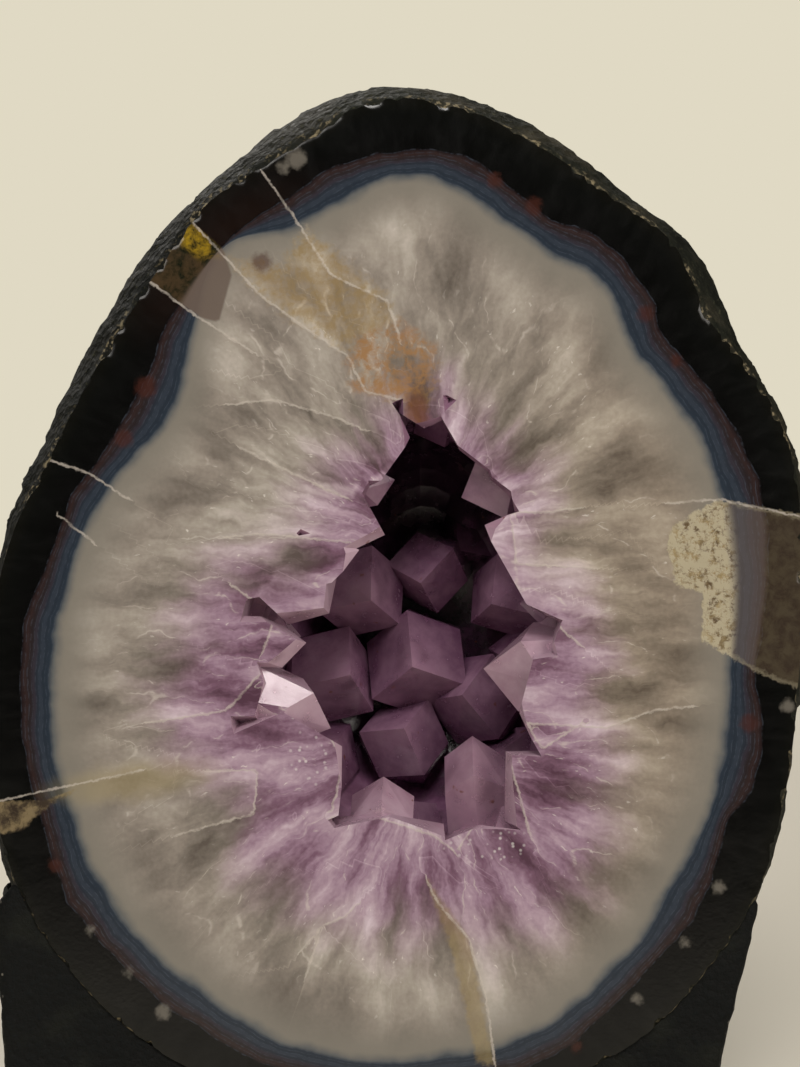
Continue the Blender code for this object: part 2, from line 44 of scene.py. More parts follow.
# The polished face: u runs right and v up along it, w back into the stone, all in mm.
# Outlines run round the middle of the hollow.
face = dict(
    lean=math.radians(5.0),
    middle=(5.0, 118.0),
    backMiddle=(0.0, 112.0),
    silhouette=[
        (0.0, 250.2), (24.4, 243.7), (53.7, 225.2), (71.3, 209.2), (80.8, 188.9), (91.4, 172.0),
        (97.0, 151.0), (98.1, 129.5), (95.4, 105.7), (92.3, 81.6), (84.8, 55.0), (69.0, 32.0),
        (38.0, 13.5), (0.0, 7.0), (-38.0, 11.5), (-71.0, 28.5), (-91.0, 53.0), (-97.6, 79.5),
        (-98.2, 108.0), (-93.4, 147.4), (-83.3, 169.4), (-71.8, 192.0), (-60.9, 210.4),
        (-43.2, 229.8), (-22.4, 244.5)],
    rim=[
        (0.0, 244.1), (16.5, 241.0), (31.0, 233.6), (49.6, 220.9), (62.8, 211.0), (68.0, 201.4),
        (71.6, 192.6), (82.8, 179.0), (90.5, 162.4), (93.2, 141.5), (93.3, 123.0), (92.1, 104.4),
        (88.9, 80.5), (82.8, 59.2), (72.2, 43.0), (57.3, 27.0), (37.1, 16.2), (0.0, 10.2),
        (-34.8, 13.8), (-57.3, 23.7), (-74.9, 39.8), (-86.8, 56.8), (-93.7, 77.6), (-95.6, 99.8),
        (-94.7, 123.0), (-89.8, 143.1), (-80.4, 162.3), (-67.4, 186.5), (-57.3, 202.5),
        (-44.6, 219.6), (-31.2, 228.6), (-18.8, 236.0), (-10.4, 241.9)],
    agateEdge=[  # where the black rim band turns blue-grey
        (7.2, 232.2), (19.0, 228.1), (33.2, 217.4), (48.5, 210.2), (58.7, 196.7), (60.3, 190.7),
        (72.2, 175.9), (80.5, 161.2), (84.7, 150.8), (85.4, 132.2), (82.8, 111.8), (84.0, 92.8),
        (82.4, 84.4), (75.9, 75.6), (69.8, 56.1), (62.2, 46.6), (53.4, 37.1), (33.2, 20.6),
        (0.0, 14.8), (-30.0, 19.6), (-50.1, 30.6), (-69.1, 47.8), (-77.5, 58.5), (-84.0, 77.5),
        (-88.4, 105.8), (-86.8, 123.7), (-80.0, 142.0), (-76.3, 152.0), (-66.8, 165.2),
        (-59.6, 177.5), (-51.3, 196.7), (-39.4, 211.4), (-27.6, 220.4), (-15.8, 228.1)],
    quartzEdge=[  # where the agate ends and the white quartz begins
        (0.0, 226.2), (11.8, 224.1), (24.8, 215.1), (35.5, 208.1), (47.3, 200.7), (53.4, 187.2),
        (65.2, 172.6), (72.8, 158.7), (76.3, 140.0), (76.5, 114.6), (75.3, 95.8), (73.3, 84.4),
        (65.2, 65.0), (50.3, 43.2), (32.5, 28.3), (0.0, 20.6), (-27.6, 25.3), (-48.5, 38.3),
        (-66.1, 56.1), (-75.2, 75.6), (-80.2, 95.0), (-80.0, 114.0), (-76.8, 132.5),
        (-68.0, 152.7), (-54.1, 169.8), (-49.0, 184.9), (-41.3, 209.0), (-24.8, 213.9),
        (-10.0, 222.0)],
    lining=[
        (6.3, 177.0), (29.0, 160.0), (43.0, 128.5), (44.5, 99.8), (34.5, 71.0), (7.0, 60.5),
        (-22.0, 69.0), (-39.5, 95.1), (-38.0, 124.0), (-21.0, 153.0)],
    mouth=[  # the zigzag edge of the open hollow
        (6.3, 168.4), (15.5, 161.2), (22.5, 155.2), (25.8, 147.1), (19.7, 145.0), (24.6, 130.4),
        (34.6, 122.5), (35.7, 118.3), (27.8, 101.2), (32.7, 92.3), (24.6, 92.3), (27.8, 74.2),
        (8.4, 73.8), (-15.1, 78.2), (-13.5, 93.5), (-31.8, 107.6), (-21.8, 117.6),
        (-28.5, 122.5), (-16.5, 124.4), (-9.5, 139.2), (-3.5, 142.7), (-6.5, 150.3),
        (2.3, 165.4)],
)

stone = dict(
    depth=69.5, widestDepth=17.0, domeFullness=0.80, flareFullness=0.7, slowWaves=3,
    bowlDepth=54.0, bowlFullness=0.55,
    lumps=[(11, 62.0, 3.0), (12, 30.0, 1.9), (13, 17.0, 0.9)],  # seed, wavelength, height
    lumpWaves=14, lumpCrest=1.6, edgeLumps=0.22, roughDepth=22.0,
    columns=560, rowsOf=dict(bowl=8, quartz=58, agate=11, black=9, flare=12, dome=72),
    chips=[(9.0, 1.0, 31), (4.2, 0.55, 32)],                    # size of a facet, relief, seed
    grit=[(2.6, 0.35, 41), (1.5, 0.20, 42)],                    # size of a grain, relief, seed
    rimChips=(3.4, 1.1, 43),                                    # length of a chip, bite, seed
)


# Random heights of -1 to 1 on a cubic lattice, blended smoothly between its eight corners.
def latticeNoise(points, cell, seed):
    heights = np.random.RandomState(seed).uniform(-1.0, 1.0, 4096)
    scaled = points / cell
    low = np.floor(scaled).astype(np.int64)
    t = scaled - low
    t = t * t * (3 - 2 * t)
    total = np.zeros(len(points))
    for i in (0, 1):
        for j in (0, 1):
            for k in (0, 1):
                key = ((low[:, 0] + i) * 73856093) ^ ((low[:, 1] + j) * 19349663)
                key = (key ^ ((low[:, 2] + k) * 83492791)) & 4095
                share = np.abs(1 - i - t[:, 0]) * np.abs(1 - j - t[:, 1]) * np.abs(1 - k - t[:, 2])
                total += heights[key] * share
    return total


# Broken facets: every point takes the tilted plane of its nearest random centre.
def facetNoise(points, cell, seed):
    rng = np.random.RandomState(seed)
    jitter = rng.uniform(0.0, 1.0, (4096, 3))
    slopes = rng.normal(size=(4096, 3)) * 0.8
    levels = rng.uniform(-0.5, 0.5, 4096)
    scaled = points / cell
    low = np.floor(scaled).astype(np.int64)
    nearest = np.full(len(points), 1e9)
    height = np.zeros(len(points))
    for i in (-1, 0, 1):
        for j in (-1, 0, 1):
            for k in (-1, 0, 1):
                at = low + np.array([i, j, k])
                key = (at[:, 0] * 73856093) ^ (at[:, 1] * 19349663) ^ (at[:, 2] * 83492791)
                key = key & 4095
                away = scaled - (at + jitter[key])
                far = (away ** 2).sum(axis=1)
                closer = far < nearest
                nearest = np.where(closer, far, nearest)
                height = np.where(closer, (away * slopes[key]).sum(axis=1) + levels[key], height)
    return np.clip(height, -1.0, 1.0)


# A smooth closed curve through radii at given angles: cubic pieces with averaged slopes.
def smoothLoop(angles, values, at):
    order = np.argsort(angles)
    a = np.concatenate([angles[order][-2:] - 2 * math.pi, angles[order], angles[order][:3] + 2 * math.pi])
    r = np.concatenate([values[order][-2:], values[order], values[order][:3]])
    slope = np.gradient(r, a)
    slope[1:-1] = (r[2:] - r[:-2]) / (a[2:] - a[:-2])
    at = np.mod(at, 2 * math.pi)
    k = np.clip(np.searchsorted(a, at, side="right") - 1, 0, len(a) - 2)
    span = a[k + 1] - a[k]
    t = (at - a[k]) / span
    ends = r[k] * (1 + 2 * t) * (1 - t) ** 2 + r[k + 1] * t * t * (3 - 2 * t)
    return ends + span * slope[k] * t * (1 - t) ** 2 + span * slope[k + 1] * t * t * (t - 1)


def outlineRadius(outline, at):
    p = np.array(outline) - np.array(face["middle"])
    return smoothLoop(np.mod(np.arctan2(p[:, 1], p[:, 0]), 2 * math.pi), np.hypot(*p.T), at)


def loopAngles(count):
    return np.arange(count) * (2 * math.pi / count)


# Face coordinates in mm to the frame's metres: lean back, then the shift that centres the part.
def toFrame(points):
    u, v, w = np.asarray(points, dtype=float).reshape(-1, 3).T * mm
    lean = face["lean"]
    y = v * math.sin(lean) + w * math.cos(lean)
    z = v * math.cos(lean) - w * math.sin(lean)
    return np.stack([u, y, z], axis=1) + frameShift


# The frame's own stone tells how far the part was shifted: its plane and the rim's left end.
def findShift():
    lean = face["lean"]
    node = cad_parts["geode_stone"].data
    co = np.empty(len(node.vertices) * 3)
    node.vertices.foreach_get("co", co)
    co = co.reshape(-1, 3)
    height = co[:, 1] * math.cos(lean) - co[:, 2] * math.sin(lean)
    onFace = co[height < height.min() + 1e-5]
    at = loopAngles(80)
    left = (face["middle"][0] + outlineRadius(face["rim"], at) * np.cos(at)).min() * mm
    return np.array([onFace[:, 0].min() - left, height.min() / math.cos(lean), 0.0])


frameShift = findShift()
print("frame shift in mm", np.round(frameShift / mm, 3))


# Slow plane waves in fixed random directions, as in the solids.
def lumpHeight(points):
    total = np.zeros(len(points))
    for seed, wavelength, size in stone["lumps"]:
        rng = np.random.RandomState(seed)
        directions = rng.normal(size=(stone["lumpWaves"], 3))
        directions /= np.linalg.norm(directions, axis=1)[:, None]
        lengths = wavelength * rng.uniform(0.7, 1.4, stone["lumpWaves"])
        phases = rng.uniform(0, 2 * math.pi, stone["lumpWaves"])
        angles = points @ (directions * (2 * math.pi / lengths)[:, None]).T + phases
        total += size / stone["lumpCrest"] * np.sin(angles).sum(axis=1) / math.sqrt(stone["lumpWaves"] / 2)
    return total


def ring(radius, depth, middle, at):
    u = middle[0] + radius * np.cos(at)
    v = middle[1] + radius * np.sin(at)
    return np.stack([u, v, np.full(len(at), depth)], axis=1)


# The rough outside as rings: it flares from the rim to the widest line, then closes as a dome.
def outsideRings(columns, flareRows, domeRows, rough):
    at = loopAngles(columns)
    rim = outlineRadius(face["rim"], at)
    widest = outlineRadius(face["silhouette"], at)
    terms = np.fft.rfft(widest)
    terms[stone["slowWaves"] + 1:] = 0.0
    rounded = np.fft.irfft(terms, columns)
    middle = np.array(face["middle"])
    rings = []
    for part in np.arange(1, flareRows) / flareRows:
        swell = math.sin(part * math.pi / 2) ** stone["flareFullness"]
        rings.append(ring(rim + (widest - rim) * swell, stone["widestDepth"] * part, middle, at))
    for turn in np.arange(domeRows) / domeRows * math.pi / 2:
        slide = math.sin(turn) ** 2
        shape = (widest + (rounded - widest) * slide) * math.cos(turn) ** stone["domeFullness"]
        depth = stone["widestDepth"] + (stone["depth"] - stone["widestDepth"]) * math.sin(turn)
        rings.append(ring(shape, depth, middle + (np.array(face["backMiddle"]) - middle) * slide, at))
    points = np.concatenate(rings)
    away = points - np.array([*face["backMiddle"], stone["widestDepth"]])
    away[:, 2] = np.maximum(away[:, 2], 0.0)
    away /= np.linalg.norm(away, axis=1)[:, None]
    behind = points[:, 2]
    calm = stone["edgeLumps"] + (1 - stone["edgeLumps"]) * np.maximum(
        0.0, behind - stone["widestDepth"]) / stone["roughDepth"]
    fade = np.minimum(1.0, calm) * np.minimum(1.0, behind / stone["widestDepth"])
    height = lumpHeight(points) * fade
    if rough:
        carve = sum(size * (facetNoise(points, cell, seed) - 1) / 2 for cell, size, seed in stone["chips"])
        carve += sum(size * (latticeNoise(points, cell, seed) - 1) / 2 for cell, size, seed in stone["grit"])
        height += carve * np.minimum(1.0, behind / 2.5)
    return (points + away * height[:, None]).reshape(-1, columns, 3)


def rimRadius(at):
    cell, bite, seed = stone["rimChips"]
    smooth = outlineRadius(face["rim"], at)
    line = ring(smooth, 0.0, face["middle"], at)
    return smooth - bite * np.clip(facetNoise(line, cell, seed), 0.0, 1.0)


# A closed skin over rings of equal length, with a fan to a point at each end.
def skinOver(name, rings, firstPoint, lastPoint):
    count, columns = len(rings), rings[0].shape[0]
    points = np.concatenate([[firstPoint], np.concatenate(rings), [lastPoint]])
    k = np.arange(columns)
    n = (k + 1) % columns
    base = 1 + np.arange(count - 1)[:, None] * columns
    quads = np.stack([base + k, base + n, base + columns + n, base + columns + k], axis=2).reshape(-1, 4)
    start = np.stack([np.zeros(columns, int), 1 + n, 1 + k], axis=1)
    tail = 1 + (count - 1) * columns
    end = np.stack([tail + k, tail + n, np.full(columns, len(points) - 1)], axis=1)
    mesh = bpy.data.meshes.new(name)
    mesh.from_pydata(toFrame(points), [], [*start.tolist(), *quads.tolist(), *end.tolist()])
    mesh.validate()
    faceOut(mesh)
    return mesh


def faceOut(mesh):
    work = bmesh.new()
    work.from_mesh(mesh)
    bmesh.ops.recalc_face_normals(work, faces=work.faces)
    if work.calc_volume(signed=True) < 0:
        bmesh.ops.reverse_faces(work, faces=work.faces)
    work.to_mesh(mesh)
    work.free()


def addPiece(name, mesh, *materials):
    piece = bpy.data.objects.new(name, mesh)
    bpy.context.scene.collection.objects.link(piece)
    mesh.materials.clear()
    for material in materials:
        mesh.materials.append(material)
    return piece


def pointsOf(mesh):
    co = np.empty(len(mesh.vertices) * 3)
    mesh.vertices.foreach_get("co", co)
    return co.reshape(-1, 3)


# Frame metres back to face millimetres.
def toFace(points):
    lean = face["lean"]
    x, y, z = (points - frameShift).T / mm
    up, out = math.cos(lean), math.sin(lean)
    return np.stack([x, y * out + z * up, y * up - z * out], axis=1)


# Marks on the polished face, in whole mm on it: u to the right, v up.
marks = dict(
    outlines=dict(
        vein=[(-22, 214), (-11, 205), (-2, 197), (0, 189), (7, 188), (9, 180), (6, 172), (-11, 177),
              (-12, 185), (-27, 194), (-41, 207), (-28, 205)],
        orange=[(-10, 189), (0, 193), (9, 187), (8, 177), (3, 174), (6, 167), (2, 167), (1, 174), (-12, 176),
                (-13, 182)],
        plate=[(-49, 216), (-41, 209), (-39, 203), (-42, 192), (-46, 193), (-59, 202), (-54, 210)],
        patch=[(62, 140), (63, 145), (74, 151), (95, 147), (95, 106), (84, 110), (70, 118), (70, 129),
               (64, 131)],
        wedge=[(-96, 81), (-83, 81), (-71, 85), (-80, 81), (-88, 74), (-96, 73)],
        split=[(6, 63), (16, 49), (22, 20), (18, 20), (12, 46)]),
    seams=[
        [(-32, 227), (-25, 217), (-16, 203), (-3, 197), (0, 188)],      # the vein's edges
        [(-48, 215), (-32, 198), (-21, 190), (-12, 184), (-8, 176), (0, 174)],
        [(-59, 202), (-45, 192), (-34, 185)],
        [(-81, 160), (-72, 157), (-63, 151)],                           # cracks from the left rim
        [(-79, 147), (-71, 141)],
        [(-93, 81), (-79, 84), (-60, 88)],
        [(62, 150), (74, 151), (93, 147)],                              # above the patch
        [(6, 63), (9, 57), (16, 49), (20, 35), (22, 20)],               # below the hollow
        [(-23, 46), (-18, 52), (-13, 54), (-10, 57)],
        [(-18, 52), (-22, 40)],
        [(-40, 173), (-29, 174), (-15, 170), (-8, 167)],                # crystals left of the hollow
        [(-37, 163), (-25, 157), (-12, 151)],
        [(-41, 142), (-33, 143), (-12, 141)],
        [(-39, 131), (-29, 124), (-32, 115)],
        [(-59, 99), (-40, 102), (-33, 110)],
        [(-32, 107), (-27, 102), (-17, 97), (-13, 90), (-16, 78)],
        [(-52, 73), (-34, 78), (-33, 88), (-45, 88)],
        [(-16, 77), (-5, 77), (8, 73), (13, 69), (17, 75), (25, 76)],   # and below and right of it
        [(23, 154), (25, 148), (34, 148), (42, 149)],
        [(26, 146), (27, 136), (45, 135)],
        [(28, 125), (34, 124), (42, 117)],
        [(28, 101), (33, 93), (42, 99)],
        [(25, 92), (30, 74)],
        [(29, 99), (48, 98), (59, 102), (68, 103)]],
    spots=dict(                                                          # place, radius
        red=[((22, 225), 1.7), ((31, 219), 2.0), ((57, 194), 1.8), ((64, 183), 1.3), ((-59, 177), 2.4),
             ((-64, 165), 2.0), ((-80, 66), 1.5), ((41, 24), 1.2), ((-32, 206), 2.2), ((81, 99), 2.0)],
        pale=[((74, 61), 1.3), ((66, 48), 1.0), ((55, 35), 1.1), ((-72, 51), 0.8), ((-63, 41), 0.9),
              ((-55, 32), 1.6), ((-24, 230), 2.2), ((-27, 228), 1.3), ((90, 103), 1.5)]),
)


# Distance in mm from every point to the nearest side, and the side of it that the point is on.
def nearestSide(points, starts, ends):
    a, b = np.array(starts), np.array(ends)
    side = b - a
    apart = points[:, None, :] - a
    along = np.clip((apart * side).sum(axis=2) / (side ** 2).sum(axis=1), 0, 1)
    far = np.sqrt(((apart - side * along[:, :, None]) ** 2).sum(axis=2))
    best = far.argmin(axis=1)
    row = np.arange(len(points))
    cross = side[best, 0] * apart[row, best, 1] - side[best, 1] * apart[row, best, 0]
    return far[row, best], np.sign(cross)


# Distance to a closed outline, positive inside: a ray to the right is counted over its sides.
def insideBy(points, outline):
    a = np.array(outline)
    b = np.roll(a, -1, axis=0)
    far, _ = nearestSide(points, a, b)
    u, v = points[:, :1], points[:, 1:]
    rise = np.where(b[:, 1] == a[:, 1], 1e-9, b[:, 1] - a[:, 1])
    crossing = a[:, 0] + (v - a[:, 1]) / rise * (b[:, 0] - a[:, 0])
    spans = (a[:, 1] > v) != (b[:, 1] > v)
    return np.where((spans & (u < crossing)).sum(axis=1) % 2 == 1, far, -far)


# What the face's material reads. bandPlace is 0 at the rim, 1 and 2 at the agate's edges and then
# grows by one for each 10 mm of quartz. fromMouth is the distance to the open hollow, the marks
# are distances inside their outlines, and section is the shade of the crystal that is cut there.
def writeFaceFields(mesh):
    p = toFace(pointsOf(mesh))
    onFace = np.abs(p[:, 2]) < 0.6
    p = p[onFace, :2]
    out = p - np.array(face["middle"])
    at, r = np.arctan2(out[:, 1], out[:, 0]), np.hypot(out[:, 0], out[:, 1])
    rim, blue, white = (outlineRadius(face[name], at) for name in ("rim", "agateEdge", "quartzEdge"))
    place = np.where(r > blue, (rim - r) / (rim - blue), 1 + (blue - r) / (blue - white))
    place = np.where(r < white, 2 + (white - r) / 10.0, place)

    starts = [a for line in marks["seams"] for a in line[:-1]]
    ends = [b for line in marks["seams"] for b in line[1:]]
    seamAway, side = nearestSide(p, starts, ends)
    fields = dict(bandPlace=place, fromMouth=-insideBy(p, face["mouth"]), seamAway=seamAway,
                  seamSide=seamAway * side)
    for name, outline in marks["outlines"].items():
        fields[name] = insideBy(p, outline)
    for name, spots in marks["spots"].items():
        fields[name] = np.max([size - np.hypot(*(p - np.array(spot)).T) for spot, size in spots], axis=0)

    table = np.array(crystals["mouth"])
    away = p[:, None, :] - table[:, :2]
    heading = np.radians(table[:, 3])
    along = away[:, :, 0] * np.cos(heading) + away[:, :, 1] * np.sin(heading)
    across = np.abs(away[:, :, 1] * np.cos(heading) - away[:, :, 0] * np.sin(heading)) / table[:, 5]
    nearest = np.where(along > -2.0, across + along / 400, 9.0).argmin(axis=1)
    fields["section"] = np.random.RandomState(7).uniform(0, 1, len(table))[nearest]

    for name, value in fields.items():
        whole = np.full(len(mesh.vertices), -9.0, dtype=np.float32)
        whole[onFace] = value
        mesh.attributes.new(name, "FLOAT", "POINT").data.foreach_set("value", whole)


# One sRGB hex colour as linear values.
def tone(code):
    parts = [int(code[i:i + 2], 16) / 255 for i in (1, 3, 5)]
    return tuple(c / 12.92 if c <= 0.04045 else ((c + 0.055) / 1.055) ** 2.4 for c in parts) + (1.0,)


# Adds one node. Inputs are a list in the sockets' order or a dictionary by their names, and each
# is a value, a colour code or another node's output.
def put(tree, kind, inputs=(), out=0, stops=None, **settings):
    made = tree.nodes.new("ShaderNode" + kind)
    for name, value in settings.items():
        setattr(made, name, value)
    for key, value in (inputs.items() if isinstance(inputs, dict) else enumerate(inputs)):
        if isinstance(value, bpy.types.NodeSocket):
            tree.links.new(value, made.inputs[key])
        else:
            made.inputs[key].default_value = tone(value) if isinstance(value, str) else value
    for n, (position, code) in enumerate(stops or []):
        ramp = made.color_ramp.elements
        if n == 0:
            ramp.remove(ramp[1])
        element = ramp.new(position) if n else ramp[0]
        element.position = position
        element.color = tone(code)
    return made.outputs[out] if made.outputs else made


def newMaterial(name):
    material = bpy.data.materials.new(name)
    material.use_nodes = True
    material.node_tree.nodes.clear()
    return material, partial(put, material.node_tree)


smooth = dict(interpolation_type='SMOOTHSTEP')
add, subtract, times = (dict(operation=name) for name in ('ADD', 'SUBTRACT', 'MULTIPLY'))
timesAdd = dict(operation='MULTIPLY_ADD')


# Face millimetres inside a material: x is u, y is depth w, z is v, from the hollow's middle.
def facePoint(node):
    turn = Matrix.Rotation(face["lean"], 3, 'X')
    middle = Vector(toFrame([(*face["middle"], 0.0)])[0])
    turned = node("Mapping", {"Vector": node("TexCoord", out="Object"),
                              "Rotation": (face["lean"], 0.0, 0.0), "Location": -(turn @ middle)})
    return node("VectorMath", {0: turned, 3: 1 / mm}, operation='SCALE')


# Growth direction of the crystals: out from an upright spine in the hollow. Gives a vector in mm
# that changes only across the growth, and the distance grown in mm.
def growthWay(node, point, spine=24.0, reference=40.0):
    sides = node("SeparateXYZ", [point]).node.outputs
    along = node("Clamp", [sides["Z"], -spine, spine])
    above = node("Math", [sides["Z"], along], **subtract)
    away = node("CombineXYZ", {"X": sides["X"], "Z": above})
    grown = node("VectorMath", [away], out="Value", operation='LENGTH')
    unit = node("VectorMath", [away], operation='NORMALIZE')
    lift = node("CombineXYZ", {"Y": along})
    return node("VectorMath", [unit, (reference,) * 3, lift], **timesAdd), grown


# Noise drawn out along the growth: cells `wide` mm across it and `long` mm along it.
def grainNoise(node, across, grown, wide, long, detail=2.0, roughness=0.55):
    return node("TexNoise", {"Vector": across, "W": node("Math", [grown, wide / long], **times),
                             "Scale": 1.0 / wide, "Detail": detail, "Roughness": roughness},
                noise_dimensions='4D')


# A soft-edged oval on the face: 1 inside, 0 outside. Places and sizes in mm, turn in degrees.
def oval(node, point, place, size, turn=0.0, edge=0.35):
    u, v = place[0] - face["middle"][0], place[1] - face["middle"][1]
    a = math.radians(turn)
    moved = node("Mapping", {
        "Vector": point, "Rotation": (0.0, a, 0.0),
        "Location": (-(u * math.cos(a) + v * math.sin(a)), 0.0, u * math.sin(a) - v * math.cos(a))})
    scaled = node("VectorMath", [moved, (1 / size[0], 0.0, 1 / size[1])], **times)
    far = node("VectorMath", [scaled], out="Value", operation='LENGTH')
    return node("MapRange", [far, 1.0 + edge, 1.0 - edge], **smooth)


faceLook = dict(
    quartz=["#645c55", "#827a72", "#988f86", "#ada59b", "#d0c8c0"],   # dark to light
    lilac=["#5a3e4e", "#806075", "#a08398", "#b9a0b0", "#dccbd6"],
    rampAt=(0.20, 0.38, 0.52, 0.66, 0.88),
    fibre=(1.7, 8.0), cloud=(8.0, 22.0), crystal=(8.0, 22.0), fleck=(0.8, 2.4),   # wide, long in mm
    lilacReach=15.0, haze="#868178",
    seam="#cfc6bc", grain=0.9,
    vein="#94805a", veinPale="#c9b88c", orange="#a5784f",
    patchPale="#b8ae94", patchBrown="#5e4c36", patchGlass="#54463a",
    agate=[(0.00, "#060607"), (0.07, "#251b1c"), (0.16, "#332524"), (0.30, "#2a2426"), (0.42, "#343039"),
           (0.52, "#292f39"), (0.64, "#333b47"), (0.74, "#29313c"), (0.88, "#2c3541"), (1.00, "#4c545c")],
    agateLines=[(9.0, 0.30, "#525e6e"), (23.0, 0.22, "#4a4e58")],     # lines per band, strength, colour
)


# Polished agate and quartz. Chalcedony grows in fine even layers, so the rim is dark and banded;
# the quartz inside it is milky and fibrous and shows its crystals as pale edges. The lapped
# surface gives one hard, clear reflection over all of it.
def polishedFace():
    material, node = newMaterial("polishedQuartzAndAgate")
    names = ("bandPlace", "fromMouth", "seamAway", "seamSide", "section", *marks["outlines"], *marks["spots"])
    field = {name: node("Attribute", out="Fac", attribute_name=name) for name in names}
    point = facePoint(node)
    wander = node("TexNoise", {"Vector": point, "Scale": 0.20, "Detail": 3.0}, out=1)
    shift = node("VectorMath", [wander, (0.5, 0.5, 0.5)], **subtract)
    crooked = node("VectorMath", [shift, (4.0, 4.0, 4.0), point], **timesAdd)
    across, grown = growthWay(node, crooked)
    rugged = node("TexNoise", {"Vector": point, "Scale": 0.55, "Detail": 3.0, "Roughness": 0.65})
    stain = node("TexNoise", {"Vector": crooked, "Scale": 0.28, "Detail": 4.0, "Roughness": 0.7})
    speck = node("TexNoise", {"Vector": point, "Scale": faceLook["grain"], "Detail": 1.0})

    # milky quartz: clouds and fibres along the growth, calmer towards the agate
    place, fromMouth = field["bandPlace"], field["fromMouth"]
    cloud = grainNoise(node, across, grown, *faceLook["cloud"])
    fibre = grainNoise(node, across, grown, *faceLook["fibre"], detail=3.0, roughness=0.6)
    fleck = grainNoise(node, across, grown, *faceLook["fleck"])
    inner = node("MapRange", [place, 2.1, 4.4], **smooth)
    nearCrystal = node("MapRange", [fromMouth, 30.0, 4.0], **smooth)
    light = node("Math", [cloud, 0.95, 0.03], **timesAdd)
    softFibre = node("Math", [node("Math", [fibre, 0.5], **subtract),
                              node("MapRange", [inner, 0.0, 1.0, 0.16, 0.50])], **times)
    light = node("Math", [light, softFibre], **add)
    light = node("Math", [node("Math", [speck, 0.5], **subtract), 0.14, light], **timesAdd)
    part = node("Math", [node("Math", [field["section"], 0.5], **subtract), nearCrystal], **times)
    light = node("Math", [part, 0.26, light], **timesAdd)
    cell = grainNoise(node, across, grown, *faceLook["crystal"], detail=0.0)
    net = node("Math", [node("Math", [cell, 0.5], **subtract)], operation='ABSOLUTE')
    light = node("Math", [node("Math", [cell, 0.5], **subtract), 0.30, light], **timesAdd)
    side = node("MapRange", [field["seamSide"], 0.0, 5.0, 0.13, 0.0])
    onSide = node("Math", [field["seamSide"], 0.0], operation='GREATER_THAN')
    light = node("Math", [onSide, side, light], **timesAdd)
    white = node("ValToRGB", [light], stops=list(zip(faceLook["rampAt"], faceLook["quartz"])))
    purple = node("ValToRGB", [light], stops=list(zip(faceLook["rampAt"], faceLook["lilac"])))
    warm = oval(node, crooked, (62.0, 122.0), (34.0, 62.0), edge=0.9)
    white = node("MixRGB", [warm, white, "#fff9ef"], blend_type='MULTIPLY')

    # lilac towards the hollow, farther out at the lower left
    sides = node("SeparateXYZ", [crooked]).node.outputs
    slant = node("Math", [sides["X"], 0.6, sides["Z"]], **timesAdd)
    reach = node("MapRange", [slant, -50.0, 40.0, 13.0, -2.0])
    reach = node("Math", [node("Math", [cloud, 0.5], **subtract), 34.0, reach], **timesAdd)
    reach = node("Math", [reach, faceLook["lilacReach"]], **add)
    past = node("Math", [fromMouth, reach], **subtract)
    nearMouth = node("MapRange", [past, 6.0, -14.0], **smooth)
    body = node("MixRGB", [nearMouth, white, purple])

    # pale edges between crystals, and small bright flecks: partly white fractures in the quartz, partly
    # painted sparkle
    netLine = node("MapRange", [net, 0.012, 0.0], **smooth)
    broken = node("MapRange", [fibre, 0.46, 0.62], **smooth)
    netLine = node("Math", [node("Math", [netLine, broken], **times), inner], **times)
    netLine = node("Math", [netLine, 0.45], **times)
    body = node("MixRGB", [netLine, body, "#dad1c8"])
    # bright flecks: partly white fractures, partly painted sparkle of light caught in them
    fleckAndSparkle = node("Math", [node("MapRange", [fleck, 0.64, 0.74], **smooth),
                          node("MapRange", [cloud, 0.40, 0.62, 0.1, 0.75], **smooth)], **times)
    body = node("MixRGB", [node("Math", [fleckAndSparkle, inner], **times), body, "#e9e3dc"])
    off = node("Math", [node("Math", [rugged, 0.5], **subtract), 1.6, field["seamSide"]], **timesAdd)
    line = node("MapRange", [node("Math", [off], operation='ABSOLUTE'), 0.42, 0.08], **smooth)
    line = node("Math", [line, node("MapRange", [field["seamAway"], 1.5, 1.0])], **times)
    line = node("Math", [line, node("MapRange", [stain, 0.35, 0.60, 0.25, 0.60], **smooth)], **times)

    # the dark bands: a black rim, then layers of brown, slate and blue with fine pale lines
    layer = node("TexNoise", {"Vector": point, "Scale": 0.11, "Detail": 3.0, "Roughness": 0.5})
    bent = node("Math", [node("Math", [layer, 0.5], **subtract), 0.42, place], **timesAdd)
    agate = node("ValToRGB", [node("MapRange", [bent, 1.0, 2.0])], stops=faceLook["agate"])
    for count, strength, code in faceLook["agateLines"]:
        wave = node("Math", [node("Math", [bent, count * 2 * math.pi], **times)], operation='SINE')
        shown = node("Math", [node("MapRange", [wave, 0.55, 1.0, 0.0, strength], **smooth),
                              node("MapRange", [rugged, 0.40, 0.62], **smooth)], **times)
        agate = node("MixRGB", [shown, agate, code])
    black = node("ValToRGB", [place], stops=[(0.0, "#0f0f0b"), (0.3, "#080908"), (0.9, "#060606")])
    brownish = oval(node, crooked, (-42.0, 208.0), (22.0, 9.0), 40.0, edge=0.6)
    black = node("MixRGB", [node("Math", [brownish, 0.8], **times), black, "#1c110d"])
    surface = node("MixRGB", [node("MapRange", [bent, 0.97, 1.03], **smooth), black, agate])
    hazeTone = node("MixRGB", [node("MapRange", [place, 2.0, 3.4], **smooth), faceLook["haze"], body])
    surface = node("MixRGB", [node("MapRange", [bent, 1.88, 2.22], **smooth), surface, hazeTone])

